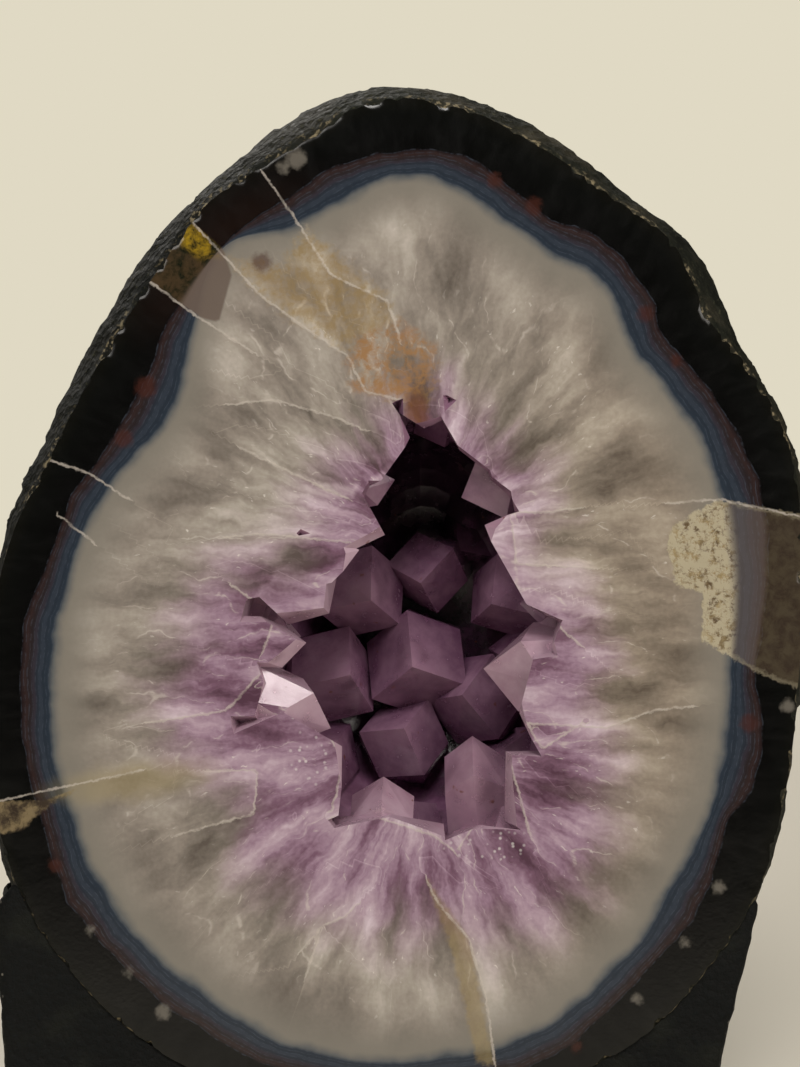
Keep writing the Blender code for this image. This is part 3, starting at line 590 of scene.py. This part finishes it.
    # iron-stained vein, with orange where it reaches the hollow
    edgeNoise = node("Math", [node("Math", [rugged, 0.5], **subtract), 9.0], **times)
    mottled = node("MapRange", [stain, 0.35, 0.65], **smooth)
    inVein = node("MapRange", [node("Math", [field["vein"], edgeNoise], **add), -1.5, 2.5], **smooth)
    veinTone = node("MixRGB", [mottled, faceLook["vein"], body])
    surface = node("MixRGB", [node("Math", [inVein, 0.62], **times), surface, veinTone])
    surface = node("MixRGB", [node("Math", [inVein, 0.30], **times), surface, faceLook["veinPale"]],
                   blend_type='OVERLAY')
    near = node("Math", [edgeNoise, 0.3, field["orange"]], **timesAdd)
    orange = node("MixRGB", [mottled, faceLook["orange"], body])
    surface = node("MixRGB", [node("MapRange", [near, -1.0, 1.6, 0.0, 0.7], **smooth), surface, orange])
    rusty = node("Math", [oval(node, crooked, (4.0, 170.5), (2.6, 5.5), edge=0.5), 0.7], **times)
    surface = node("MixRGB", [rusty, surface, "#6f4426"])

    # the plate across the bands, half clear, yellow at the rim
    inPlate = node("MapRange", [field["plate"], -0.3, 0.4, 0.0, 0.9], **smooth)
    plateTone = node("MixRGB", [mottled, "#1b1e10", "#4a3b28"])
    plateTone = node("MixRGB", [node("MapRange", [place, 0.9, 1.3], **smooth), plateTone, "#6d6058"])
    yellow = oval(node, crooked, (-48.0, 211.5), (6.0, 3.0), -35.0, edge=0.5)
    plateTone = node("MixRGB", [node("Math", [yellow, mottled], **times), plateTone, "#a88a1e"])
    surface = node("MixRGB", [inPlate, surface, plateTone])

    # the tan patch: crumbly over the quartz, brown and half clear over the bands
    crumb = node("TexNoise", {"Vector": point, "Scale": 0.42, "Detail": 4.0, "Roughness": 0.75})
    crust = node("MapRange", [crumb, 0.40, 0.54], **smooth)
    over = node("MapRange", [place, 1.7, 2.1], **smooth)
    nearEdge = node("Math", [edgeNoise, 0.35, field["patch"]], **timesAdd)
    inPatch = node("MapRange", [nearEdge, -0.2, 0.5, 0.0, 0.92], **smooth)
    crumbs = node("MixRGB", [mottled, faceLook["patchBrown"], "#a3916a"])
    crumbs = node("MixRGB", [crust, crumbs, faceLook["patchPale"]])
    glassy = node("MixRGB", [mottled, faceLook["patchGlass"], "#6b5f4c"])
    glassy = node("MixRGB", [node("MapRange", [place, 1.0, 1.2], **smooth), glassy, "#6e6461"])
    patchTone = node("MixRGB", [over, glassy, crumbs])
    patchTone = node("MixRGB", [node("MapRange", [nearEdge, 1.4, 0.4, 0.0, 0.6], **smooth), patchTone,
                                faceLook["patchPale"]])
    shown = node("Math", [inPatch, node("MapRange", [over, 0.0, 1.0, 0.5, 1.0])], **times)
    surface = node("MixRGB", [shown, surface, patchTone])

    for name, push, low, high, strength, dark, pale in (
            ("wedge", 0.25, -0.4, 0.5, 0.90, "#3d332a", "#8a7a5c"),
            ("split", 0.30, -0.8, 0.8, 0.45, "#988252", "#a8935f")):
        near = node("Math", [edgeNoise, push, field[name]], **timesAdd)
        mask = node("MapRange", [near, low, high, 0.0, strength], **smooth)
        surface = node("MixRGB", [mask, surface, node("MixRGB", [mottled, dark, pale])])
    tanCloud = node("Math", [oval(node, crooked, (-62.0, 85.5), (16.0, 4.0), 8.0, edge=0.6), 0.45], **times)
    surface = node("MixRGB", [tanCloud, surface, "#a8996f"])

    # seams and inclusions over all of it, then painted glints: near-white spots that stand in for light
    # caught in the quartz
    surface = node("MixRGB", [line, surface, faceLook["seam"]])
    for name, strength, code in (("red", 0.6, "#4a2820"), ("pale", 0.5, "#8f897f")):
        near = node("Math", [edgeNoise, 0.3, field[name]], **timesAdd)
        spot = node("MapRange", [near, -0.9, 0.9, 0.0, strength], **smooth)
        surface = node("MixRGB", [spot, surface, code])
    # painted glints: scattered near-white spots in two places, as light caught in the quartz
    paintedGlintPlace = {"Vector": point, "Scale": 0.8}
    picked = node("MapRange", [node("TexVoronoi", paintedGlintPlace, out="Color"), 0.55, 0.60], **smooth)
    paintedGlint = node("MapRange", [node("TexVoronoi", paintedGlintPlace), 0.40, 0.10, 0.0, 0.55], **smooth)
    paintedGlint = node("Math", [paintedGlint, picked], **times)
    for where, size in (((20.5, 70.5), (9.0, 3.6)), ((-21.0, 91.0), (5.0, 6.0))):
        here = node("Math", [paintedGlint, oval(node, crooked, where, size, edge=0.6)], **times)
        surface = node("MixRGB", [here, surface, "#f4f1ee"])

    relief = node("Math", [node("Math", [inPatch, over], **times), crust], **times)
    relief = node("Math", [speck, 0.12, relief], **timesAdd)
    normal = node("Bump", {"Height": relief, "Strength": 0.25, "Distance": 0.0005})
    shader = node("BsdfPrincipled", {
        "Base Color": surface, "Roughness": node("MapRange", [fibre, 0.3, 0.7, 0.14, 0.26]), "IOR": 1.54,
        "Specular IOR Level": 0.35, "Normal": normal})
    node("OutputMaterial", {"Surface": shader})
    return material


crystalLook = dict(
    # tones by depth behind the face: the darker ones are partly the amethyst's own tone, partly painted shade
    tonesByDepthAndShade=[(0.0, "#ddbccf"), (0.22, "#c8a0b6"), (0.50, "#b086a2"), (0.72, "#85597a"), (1.0, "#2c1827")],
    deepest=52.0,                        # mm behind the face where the last of these stands
    clouded="#5c4048", rust="#8a4c22",
    absorb="#b482c0", density=40.0)      # per metre of path inside a crystal


# Amethyst: quartz with violet iron colour, its natural faces smooth as glass. Part of the light
# goes through and is absorbed on its way; fine veils inside keep it a little milky. Its colour
# darkens with depth behind the face, partly the crystals' deeper tone and partly painted shade
# of the hollow, and the narrow top of the hollow is painted darker still as shade.
def amethyst():
    material, node = newMaterial("naturalAmethyst")
    point = facePoint(node)
    sides = node("SeparateXYZ", [point]).node.outputs
    veil = node("TexNoise", {"Vector": point, "Scale": 0.14, "Detail": 5.0, "Roughness": 0.62})
    patchy = node("TexNoise", {"Vector": point, "Scale": 0.07, "Detail": 2.0})
    # painted shade: the colour darkens with depth behind the face, partly the crystals' deeper tone
    depthAndShade = node("Math", [node("Math", [veil, 0.5], **subtract), 34.0, sides["Y"]], **timesAdd)
    paintedTopShade = node("MapRange", [sides["Z"], 18.0, 38.0, 0.0, 24.0], **smooth)    # painted shade: darkest at the narrow top of the hollow
    depthAndShade = node("MapRange", [node("Math", [depthAndShade, paintedTopShade], **add), 0.0, crystalLook["deepest"]])
    colour = node("ValToRGB", [depthAndShade], stops=crystalLook["tonesByDepthAndShade"])
    clouded = node("MapRange", [patchy, 0.52, 0.70, 0.0, 0.35], **smooth)
    colour = node("MixRGB", [clouded, colour, crystalLook["clouded"]])
    rust = node("TexNoise", {"Vector": point, "Scale": 0.30, "Detail": 2.0})
    rust = node("MapRange", [rust, 0.70, 0.76, 0.0, 0.7], **smooth)
    colour = node("MixRGB", [rust, colour, crystalLook["rust"]])
    stripes = node("TexNoise", {"Vector": point, "Scale": 1.2, "Detail": 3.0})
    normal = node("Bump", {"Height": stripes, "Strength": 0.12, "Distance": 0.0002})
    shader = node("BsdfPrincipled", {
        "Base Color": colour, "Roughness": node("MapRange", [veil, 0.35, 0.65, 0.16, 0.30]), "IOR": 1.55,
        "Transmission Weight": 0.30, "Normal": normal})
    absorb = node("VolumeAbsorption", {"Color": crystalLook["absorb"], "Density": crystalLook["density"]})
    node("OutputMaterial", {"Surface": shader, "Volume": absorb})
    return material


rindLook = dict(
    grain=1.1, patch=14.0, chipTo=2.6,   # mm: grit, colour patches, pale chips behind the rim
    rock=[(0.30, "#131510"), (0.46, "#20221a"), (0.58, "#333127"), (0.72, "#464235")],
    paint="#0b0d0b", dust="#55543f", chip="#9c8f72")


# Weathered basalt, the rock that the geode grew in, partly blackened: matt, gritty, with
# brown-grey patches and pale chips where the saw met it.
def basaltRind():
    material, node = newMaterial("weatheredBasaltRind")
    point = facePoint(node)
    sides = node("SeparateXYZ", [point]).node.outputs
    patch = node("TexNoise", {"Vector": point, "Scale": 1 / rindLook["patch"], "Detail": 5.0,
                              "Roughness": 0.6})
    grain = node("TexNoise", {"Vector": point, "Scale": 1 / rindLook["grain"], "Detail": 3.0})
    fine = node("TexVoronoi", {"Vector": point, "Scale": 0.45})
    colour = node("ValToRGB", [patch], stops=rindLook["rock"])
    painted = node("Math", [sides["X"], -0.35, node("Math", [patch, 34.0], **times)], **timesAdd)
    painted = node("MapRange", [painted, 14.0, 40.0, 0.0, 0.85], **smooth)
    colour = node("MixRGB", [painted, colour, rindLook["paint"]])
    dusty = node("MapRange", [grain, 0.58, 0.72, 0.0, 0.45], **smooth)
    colour = node("MixRGB", [dusty, colour, rindLook["dust"]])
    edge = node("MapRange", [sides["Y"], rindLook["chipTo"], 0.4], **smooth)
    chips = node("Math", [edge, node("MapRange", [grain, 0.50, 0.62], **smooth)], **times)
    chips = node("Math", [chips, node("MapRange", [patch, 0.44, 0.56, 0.0, 0.85], **smooth)], **times)
    colour = node("MixRGB", [chips, colour, rindLook["chip"]])
    relief = node("Math", [grain, 0.6, fine], **timesAdd)
    normal = node("Bump", {"Height": relief, "Strength": 0.8, "Distance": 0.0008})
    shader = node("BsdfPrincipled", {
        "Base Color": colour, "Roughness": node("MapRange", [grain, 0.3, 0.7, 0.65, 0.95]), "Normal": normal,
        "Specular IOR Level": 0.2})
    node("OutputMaterial", {"Surface": shader})
    return material


footLook = dict(sandGrain=1.1, paleGrain=1.8,      # mm
                paint=[(0.35, "#050606"), (0.55, "#0a0c0b"), (0.70, "#141718")],
                bare="#23251d", fleck="#77736a")


# Cement cast in a mould and painted black: sandy, with small pale grains that the paint missed.
def paintedCement():
    material, node = newMaterial("blackPaintedCement")
    point = facePoint(node)
    sand = node("TexNoise", {"Vector": point, "Scale": 1 / footLook["sandGrain"], "Detail": 4.0,
                             "Roughness": 0.65})
    patch = node("TexNoise", {"Vector": point, "Scale": 0.08, "Detail": 3.0})
    colour = node("ValToRGB", [sand], stops=footLook["paint"])
    bare = node("MapRange", [patch, 0.50, 0.72, 0.0, 0.35], **smooth)
    colour = node("MixRGB", [bare, colour, footLook["bare"]])
    cells = {"Vector": point, "Scale": 1 / footLook["paleGrain"]}
    grains = node("TexVoronoi", cells)
    picked = node("MapRange", [node("TexVoronoi", cells, out="Color"), 0.62, 0.70, 0.0, 0.8], **smooth)
    fleck = node("Math", [node("MapRange", [grains, 0.22, 0.14], **smooth), picked], **times)
    colour = node("MixRGB", [fleck, colour, footLook["fleck"]])
    relief = node("Math", [grains, -0.5, sand], **timesAdd)
    normal = node("Bump", {"Height": relief, "Strength": 0.8, "Distance": 0.0006})
    shader = node("BsdfPrincipled", {
        "Base Color": colour, "Roughness": node("MapRange", [sand, 0.3, 0.7, 0.55, 0.90]), "Normal": normal,
        "Specular IOR Level": 0.2})
    node("OutputMaterial", {"Surface": shader})
    return material


faceMaterial = polishedFace()
crystalMaterial = amethyst()
rindMaterial = basaltRind()
cementMaterial = paintedCement()
print("materials made")


# Rings of the hollow: a steep bowl, `inset` mm inside its wall.
def bowlRings(inset, columns, rows, first=0):
    at = loopAngles(columns)
    radius = outlineRadius(face["lining"], at)
    rings = []
    for k in range(first, rows):
        turn = k / rows * math.pi / 2
        gap = inset * min(1.0, k / 2)
        rings.append(ring((radius - gap) * math.cos(turn) ** stone["bowlFullness"],
                          (stone["bowlDepth"] - gap) * math.sin(turn), face["middle"], at))
    return rings


# The stone: bowl wall, then the flat face ring by ring between the band edges, then the outside.
def makeStone():
    columns, rows = stone["columns"], stone["rowsOf"]
    at = loopAngles(columns)
    edges = [outlineRadius(face["lining"], at), outlineRadius(face["quartzEdge"], at),
             outlineRadius(face["agateEdge"], at), rimRadius(at)]
    rings = bowlRings(0.0, columns, rows["bowl"], 1)[::-1]
    for inner, outer, count in zip(edges, edges[1:], (rows["quartz"], rows["agate"], rows["black"])):
        for share in np.arange(count) / count:
            rings.append(ring(inner + (outer - inner) * share, 0.0, face["middle"], at))
    rings.append(ring(edges[-1], 0.0, face["middle"], at))
    outside = list(outsideRings(columns, rows["flare"], rows["dome"], rough=True))
    back = outside[-1].mean(axis=0) + np.array([0.0, 0.0, 0.2])
    mesh = skinOver("geodeStone", rings + outside, (*face["middle"], stone["bowlDepth"]), back)
    piece = addPiece("geodeStone", mesh, rindMaterial, faceMaterial)
    paintFlat(mesh)
    mesh.shade_smooth()
    mesh.set_sharp_from_angle(angle=math.radians(42))
    writeFaceFields(mesh)
    print("stone", sum(len(p.vertices) - 2 for p in mesh.polygons), "triangles")
    return piece


# The polygons that lie in the polished plane get the second material.
def paintFlat(mesh):
    flat = np.abs(toFace(pointsOf(mesh))[:, 2]) < 1e-3
    inPlane = [int(all(flat[v] for v in p.vertices)) for p in mesh.polygons]
    mesh.polygons.foreach_set("material_index", inPlane)


crystals = dict(
    # cut by the face: tip u, v, depth, heading to the root, dip, radius, point height / radius
    mouth=[
        (5.6, 167.5, 2.0, 92, 4, 6.0, 0.50), (13.9, 162.4, 2.0, 45, 2, 10.0, 0.20),
        (21.3, 155.4, 2.0, 38, 2, 9.0, 0.30), (26.7, 148.0, 2.0, 30, 2, 9.0, 0.30),
        (19.7, 145.0, 2.0, -24, 0, 15.0, 1.07), (35.3, 117.2, 2.0, 0, 2, 9.0, 0.30),
        (27.8, 101.2, 2.0, 9, 0, 14.0, 0.36), (24.6, 92.3, 2.0, -42, 0, 13.0, 1.05),
        (29.7, 73.0, 2.0, -50, 2, 9.0, 0.30), (18.6, 75.2, 2.0, 275, 2, 13.0, 0.25),
        (-2.3, 77.7, 2.0, 266, 2, 15.0, 0.25), (-16.2, 77.0, 2.0, 230, 2, 9.0, 0.30),
        (-13.5, 93.5, 2.0, 204, 0, 15.0, 0.60), (-31.1, 108.1, 2.0, 180, 2, 9.0, 0.30),
        (-21.8, 117.6, 2.0, 179, 2, 6.0, 1.40), (-16.5, 124.4, 3.0, 137, 0, 9.6, 0.78),
        (-9.5, 139.2, 2.0, 191, 0, 7.0, 1.28), (-3.5, 142.7, 2.0, 155, 0, 8.0, 1.15),
        (-21.0, 145.0, 2.5, 152, 3, 7.5, 0.34), (-7.0, 154.3, 2.0, 165, 2, 9.5, 0.30),
        (2.3, 165.4, 2.0, 179, -2, 12.0, 0.60), (-1.2, 155.7, 9.0, 190, 8, 5.5, 1.10),
        (-16.2, 97.4, 6.0, 155, 6, 8.0, 1.10), (-3.9, 85.8, 9.0, 268, 10, 8.5, 0.90),
        (17.2, 94.9, 15.0, 275, 14, 8.5, 1.10), (19.7, 111.1, 11.0, 2, 8, 10.5, 1.00),
        (14.5, 151.5, 11.0, 25, 8, 9.5, 1.00)],
    mouthLength=42.0,
    # on the floor: tip u, v, depth, lean right, lean up in degrees, radius
    floor=[
        (-7.0, 127.0, 22.0, -12, 8, 12.0), (5.0, 131.0, 27.0, 10, 14, 10.0),
        (-12.0, 109.0, 23.0, -20, -4, 12.5), (3.0, 111.0, 21.0, 4, 0, 13.5),
        (15.0, 104.0, 25.0, 16, -8, 12.0), (1.0, 96.0, 24.0, 0, -16, 11.0),
        (22.0, 126.0, 24.0, 24, 10, 11.0), (27.0, 112.0, 27.0, 26, 0, 10.0),
        (14.0, 139.0, 38.0, 12, 18, 10.0), (-16.0, 92.0, 26.0, -18, -20, 10.5),
        (24.0, 90.0, 26.0, 22, -20, 10.0), (6.0, 152.0, 44.0, 0, 22, 9.0)],
    # round the wall: depth, how many, first angle, least and most radius, least and most reach
    walls=[(15.0, 10, 8.0, 5.0, 7.5, 9.0, 14.0), (27.0, 9, 20.0, 5.0, 7.5, 9.0, 14.0),
           (38.0, 7, 5.0, 5.0, 7.5, 9.0, 14.0),
           (9.0, 22, 3.0, 2.4, 3.8, 6.0, 8.5), (20.0, 20, 13.0, 2.6, 4.4, 7.0, 11.0),
           (29.0, 16, 2.0, 2.8, 4.6, 7.0, 11.5), (36.0, 14, 9.0, 2.8, 4.6, 7.0, 11.0)],
    shell=4.5, pointHeight=1.05, uneven=0.36, seed=32,
    gap=0.3, plugColumns=240, plugRows=16, plugRings=34)


# A six-sided crystal: a prism whose point has alternately larger and smaller flat faces. Only
# the heights of its shoulders vary, along the axis, so every face stays flat.
def addCrystal(work, tip, way, radius, length, chance, point):
    axis = Vector(way).normalized()
    side = axis.orthogonal().normalized()
    side.rotate(Matrix.Rotation(chance.uniform(0, math.pi / 3), 3, axis))
    other = axis.cross(side)
    cap = radius * point
    shoulder, foot = [], []
    for k in range(6):
        out = (side * math.cos(k * math.pi / 3) + other * math.sin(k * math.pi / 3)) * radius
        drop = cap * (1.0 + crystals["uneven"] * (-1) ** k * chance.uniform(0.5, 1.0))
        shoulder.append(work.verts.new(tip + out + axis * drop))
        foot.append(work.verts.new(tip + out + axis * max(length, cap * 1.6)))
    top = work.verts.new(tip)
    for k in range(6):
        n = (k + 1) % 6
        work.faces.new((top, shoulder[k], shoulder[n]))
        work.faces.new((shoulder[k], foot[k], foot[n], shoulder[n]))
    work.faces.new(foot[::-1])


# Face millimetres, or a direction in them, as upright ones.
def uprightMm(u, v, w):
    lean = face["lean"]
    return Vector((u, v * math.sin(lean) + w * math.cos(lean), v * math.cos(lean) - w * math.sin(lean)))


def crystalPoints():
    chance = random.Random(crystals["seed"])
    work = bmesh.new()
    for u, v, w, heading, dip, radius, point in crystals["mouth"]:
        a, d = math.radians(heading), math.radians(dip)
        way = uprightMm(math.cos(a) * math.cos(d), math.sin(a) * math.cos(d), math.sin(d))
        addCrystal(work, uprightMm(u, v, w), way, radius, crystals["mouthLength"], chance, point)
    for u, v, w, right, up, radius in crystals["floor"]:
        way = uprightMm(math.tan(math.radians(right)), math.tan(math.radians(up)), 1.0)
        length = stone["bowlDepth"] - w + 6.0
        addCrystal(work, uprightMm(u, v, w), way, radius, length, chance, crystals["pointHeight"])
    for depth, count, first, thin, thick, short, long in crystals["walls"]:
        turn = math.asin(depth / stone["bowlDepth"])
        for k in range(count):
            a = math.radians(first + (k + chance.uniform(-0.2, 0.2)) * 360 / count)
            wall = float(outlineRadius(face["lining"], np.array([a]))[0])
            wall *= math.cos(turn) ** stone["bowlFullness"]
            reach = chance.uniform(short, long)
            tip = uprightMm(face["middle"][0] + (wall - reach) * math.cos(a),
                            face["middle"][1] + (wall - reach) * math.sin(a), depth)
            aim = a + math.radians(chance.uniform(-16, 16))
            tilt = math.radians(depth * 0.9 + chance.uniform(-10, 10))
            way = uprightMm(math.cos(aim) * math.cos(tilt), math.sin(aim) * math.cos(tilt), math.sin(tilt))
            radius = chance.uniform(thin, thick)
            addCrystal(work, tip, way, radius, reach + 5.0, chance, crystals["pointHeight"])
    mesh = bpy.data.meshes.new("crystalPoints")
    work.to_mesh(mesh)
    work.free()
    mesh.vertices.foreach_set("co", (pointsOf(mesh) * mm + frameShift).ravel())
    faceOut(mesh)
    return addPiece("crystalPoints", mesh, crystalMaterial)


# One crust: the crystals joined with a thin shell, then cut by a plug of the hollow's shape.
# Shell and crystals stand out of the plug on all sides, so that the plug alone makes the cut.
# Its flat top is a fine polar grid in the face's material, with enough points for its fields.
def makeCrust():
    points = crystalPoints()
    floor, gap, shell = stone["bowlDepth"], crystals["gap"], crystals["shell"]
    outer = bowlRings(-2.0, 60, 12)
    inner = bowlRings(gap + shell, 60, 12)
    inner[0][:, 2] = outer[0][:, 2] = -6.0
    crust = addPiece("amethystCrust", skinOver(
        "amethystCrust", inner[::-1] + outer, (*face["middle"], floor - gap - shell),
        (*face["middle"], floor + 2.0)), crystalMaterial)
    cutWith(crust, points, 'UNION')

    at = loopAngles(crystals["plugColumns"])
    edge = outlineRadius(face["lining"], at)
    shares = np.arange(1, crystals["plugRings"]) / crystals["plugRings"]
    top = [ring(edge * share, 0.0, face["middle"], at) for share in shares]
    wall = bowlRings(gap, crystals["plugColumns"], crystals["plugRows"])
    plug = skinOver("facePlug", top + wall, (*face["middle"], 0.0), (*face["middle"], floor - gap))
    cutter = addPiece("facePlug", plug, crystalMaterial, faceMaterial)
    paintFlat(plug)
    cutWith(crust, cutter, 'INTERSECT')
    keepLargest(crust)
    mesh = crust.data
    writeFaceFields(mesh)
    mesh.shade_flat()
    for guide in (points, cutter):
        bpy.data.objects.remove(guide)
    print("crust", sum(len(p.vertices) - 2 for p in mesh.polygons), "triangles")
    return crust


def cutWith(piece, tool, operation):
    step = piece.modifiers.new(operation.lower(), 'BOOLEAN')
    step.operation = operation
    step.solver = 'EXACT'
    step.use_self = True
    step.material_mode = 'TRANSFER'
    step.object = tool
    bpy.context.view_layer.update()
    graph = bpy.context.evaluated_depsgraph_get()
    mesh = bpy.data.meshes.new_from_object(piece.evaluated_get(graph))
    piece.modifiers.clear()
    old = piece.data
    piece.data = mesh
    bpy.data.meshes.remove(old)


def keepLargest(piece):
    work = bmesh.new()
    work.from_mesh(piece.data)
    bmesh.ops.remove_doubles(work, verts=work.verts, dist=0.0005 * mm)
    waiting, largest = set(work.verts), set()
    while waiting:
        body = {waiting.pop()}
        front = list(body)
        while front:
            for edge in front.pop().link_edges:
                for vert in edge.verts:
                    if vert not in body:
                        body.add(vert)
                        front.append(vert)
        waiting -= body
        if len(body) > len(largest):
            largest = body
    bmesh.ops.delete(work, geom=[v for v in work.verts if v not in largest], context='VERTS')
    work.to_mesh(piece.data)
    work.free()


foot = dict(
    # height, left, right, back
    rings=[(0.0, -88.5, 69.0, 64.0), (2.5, -90.5, 71.5, 66.0), (20.0, -92.5, 75.3, 65.5),
           (36.0, -93.6, 79.3, 61.5), (48.0, -94.2, 82.2, 55.0), (57.0, -94.2, 84.0, 46.0),
           (64.0, -88.0, 77.0, 36.0)],
    corner=28.0, cornerShare=0.6, frontCorner=2.0, recess=0.5, middle=(-8.0, 30.0),
    lumps=0.35, seatInset=0.5, rowHeight=1.1, columns=380,
    grit=[(3.2, 0.55, 51), (1.6, 0.30, 52)])     # size of a grain, relief, seed


# One level of the foot, run round from its right front corner: straight sides, round corners.
def footLevel(height):
    table = np.array(foot["rings"])
    left, right, back = (np.interp(height, table[:, 0], table[:, k]) for k in (1, 2, 3))
    front = height * math.tan(face["lean"]) + foot["recess"]
    bend = min(foot["corner"], foot["cornerShare"] * (back - front))
    small = foot["frontCorner"]
    corners = [(right - small, front + small, -90, small), (right - bend, back - bend, 0, bend),
               (left + bend, back - bend, 90, bend), (left + small, front + small, 180, small)]
    path = []
    for x, y, start, radius in corners:
        a = np.radians(start + np.linspace(0, 90, 13))
        path.append(np.stack([x + radius * np.cos(a), y + radius * np.sin(a)], axis=1))
    path = np.concatenate(path + [path[0][:1]])
    run = np.concatenate([[0.0], np.cumsum(np.hypot(*np.diff(path, axis=0).T))])
    at = np.linspace(0, run[-1], foot["columns"], endpoint=False)
    x, y = (np.interp(at, run, path[:, k]) for k in (0, 1))
    return np.stack([x, y, np.full(len(x), height)], axis=1)


def makeFoot():
    top = foot["rings"][-1][0]
    heights = np.linspace(0.0, top, int(top / foot["rowHeight"]) + 1)
    grid = np.stack([footLevel(h) for h in heights])
    flat = grid.reshape(-1, 3)
    away = flat.copy()
    away[:, :2] -= np.array(foot["middle"][:2])
    away[:, 2] = 0.0
    away /= np.linalg.norm(away, axis=1)[:, None]
    frontGap = flat[:, 1] - flat[:, 2] * math.tan(face["lean"]) - foot["recess"]
    side = np.clip((frontGap - 1.0) / 3.0, 0, 1) * np.clip(flat[:, 2] / 1.5, 0, 1)
    carve = sum(size * (latticeNoise(flat, cell, seed) - 1) / 2 for cell, size, seed in foot["grit"])
    lump = lumpHeight(flat) * foot["lumps"] * side
    flat = flat + away * (lump + carve * np.clip(flat[:, 2] / 1.5, 0, 1))[:, None]
    rows, columns = len(heights), foot["columns"]
    k = np.arange(columns)
    n = (k + 1) % columns
    base = np.arange(rows - 1)[:, None] * columns
    quads = np.stack([base + k, base + n, base + columns + n, base + columns + k], axis=2).reshape(-1, 4)
    mesh = bpy.data.meshes.new("castBase")
    shifted = flat * mm + frameShift
    mesh.from_pydata(shifted, [], [*quads.tolist(), k[::-1].tolist(), (k + (rows - 1) * columns).tolist()])
    faceOut(mesh)
    base = addPiece("castBase", mesh, cementMaterial)
    at = loopAngles(200)
    outside = list(outsideRings(200, 6, 30, rough=False))
    rim = outlineRadius(face["rim"], at) - foot["seatInset"]
    front = [ring(rim, -5.0, face["middle"], at), ring(rim, 0.0, face["middle"], at)]
    seat = addPiece("stoneSeat", skinOver("stoneSeat", front + outside, (*face["middle"], -5.0),
                                          outside[-1].mean(axis=0)), cementMaterial)
    cutWith(base, seat, 'DIFFERENCE')
    keepLargest(base)
    bpy.data.objects.remove(seat)
    base.data.shade_smooth()
    base.data.set_sharp_from_angle(angle=math.radians(50))
    print("foot", sum(len(p.vertices) - 2 for p in base.data.polygons), "triangles")
    return base


pieces = [(makeStone(), "geode_stone", "agate_stone"), (makeCrust(), "amethyst_crust", "amethyst"),
          (makeFoot(), "cast_base", "black_cement")]
for piece, node, slot in pieces:
    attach(piece, "root")
    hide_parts(node)


studio = dict(
    backdrop="#e0d9c4", floor="#e6e1d4", floorFade=(0.40, 1.00),   # metres from the middle
    cameraAway=0.6, pictureMiddle=143.03, mmPerPixel=0.232, picture=(800, 1067),
    # softboxes: place, what they point at, size, power in watts, colour
    lights=[((-0.55, -0.80, 0.80), (0.0, 0.0, 0.13), 0.50, 3.4, "#fffaf4"),
            ((0.72, -0.80, 0.50), (0.0, 0.0, 0.13), 0.60, 4.4, "#fff8ee"),
            ((0.0, -0.95, 1.15), (0.0, 0.0, 0.12), 0.40, 6.0, "#fffaf5"),
            ((-0.35, 0.75, 0.85), (0.0, 0.0, 0.12), 0.60, 7.0, "#fffaf2")],
    ambient="#cfc9ba", ambientStrength=0.06)


# A round floor that fades into the backdrop, so that no view shows where it ends or is blocked.
def makeFloor():
    a = np.linspace(0, 2 * math.pi, 64, endpoint=False)
    points = studio["floorFade"][1] * np.stack([np.cos(a), np.sin(a), 0 * a], axis=1)
    mesh = bpy.data.meshes.new("studioFloor")
    mesh.from_pydata(points, [], [list(range(len(a)))])
    material, node = newMaterial("paintedStudioFloor")
    far = node("VectorMath", [node("TexCoord", out="Object")], out="Value", operation='LENGTH')
    paint = node("BsdfPrincipled", {"Base Color": studio["floor"], "Roughness": 0.9,
                                    "Specular IOR Level": 0.2})
    fade = node("MapRange", [far, *studio["floorFade"]], **smooth)
    node("OutputMaterial", {"Surface": node("MixShader", [fade, paint, node("BsdfTransparent")])})
    addPiece("studioFloor", mesh, material)


def makeLights():
    for k, (place, target, size, power, code) in enumerate(studio["lights"]):
        lamp = bpy.data.lights.new("softbox%d" % k, 'AREA')
        lamp.shape = 'DISK'
        lamp.size = size
        lamp.energy = power
        lamp.color = tone(code)[:3]
        item = bpy.data.objects.new(lamp.name, lamp)
        item.location = place
        item.rotation_euler = (Vector(target) - Vector(place)).to_track_quat('-Z', 'Y').to_euler()
        bpy.context.scene.collection.objects.link(item)
    world = bpy.data.worlds.new("studioAmbient")
    world.use_nodes = True
    world.node_tree.nodes.clear()
    node = partial(put, world.node_tree)
    # the backdrop's tone is only seen; the dim ambient is what lights the stone and mirrors in it
    seen = node("Background", [studio["backdrop"], 1.0])
    dim = node("Background", [studio["ambient"], studio["ambientStrength"]])
    node("OutputWorld", {"Surface": node("MixShader", [node("LightPath", out="Is Camera Ray"), dim, seen])})
    bpy.context.scene.world = world


# The camera looks straight at the face; its lens makes a pixel of the picture mmPerPixel wide there.
def makeCamera():
    lens = bpy.data.cameras.new("camera")
    lens.sensor_fit = 'HORIZONTAL'
    lens.sensor_width = 36.0
    lens.lens = 36.0 * studio["cameraAway"] / (studio["picture"][0] * studio["mmPerPixel"] * mm)
    lens.clip_start = 0.01
    camera = bpy.data.objects.new("camera", lens)
    outward = Vector((0.0, -math.cos(face["lean"]), math.sin(face["lean"])))
    aim = Vector(toFrame([(0.0, studio["pictureMiddle"], 0.0)])[0])
    camera.location = aim + outward * studio["cameraAway"]
    camera.rotation_euler = (-outward).to_track_quat('-Z', 'Y').to_euler()
    bpy.context.scene.collection.objects.link(camera)
    bpy.context.scene.camera = camera


makeFloor()
makeLights()
makeCamera()
bpy.context.scene.view_settings.view_transform = 'Standard'
print("studio made")
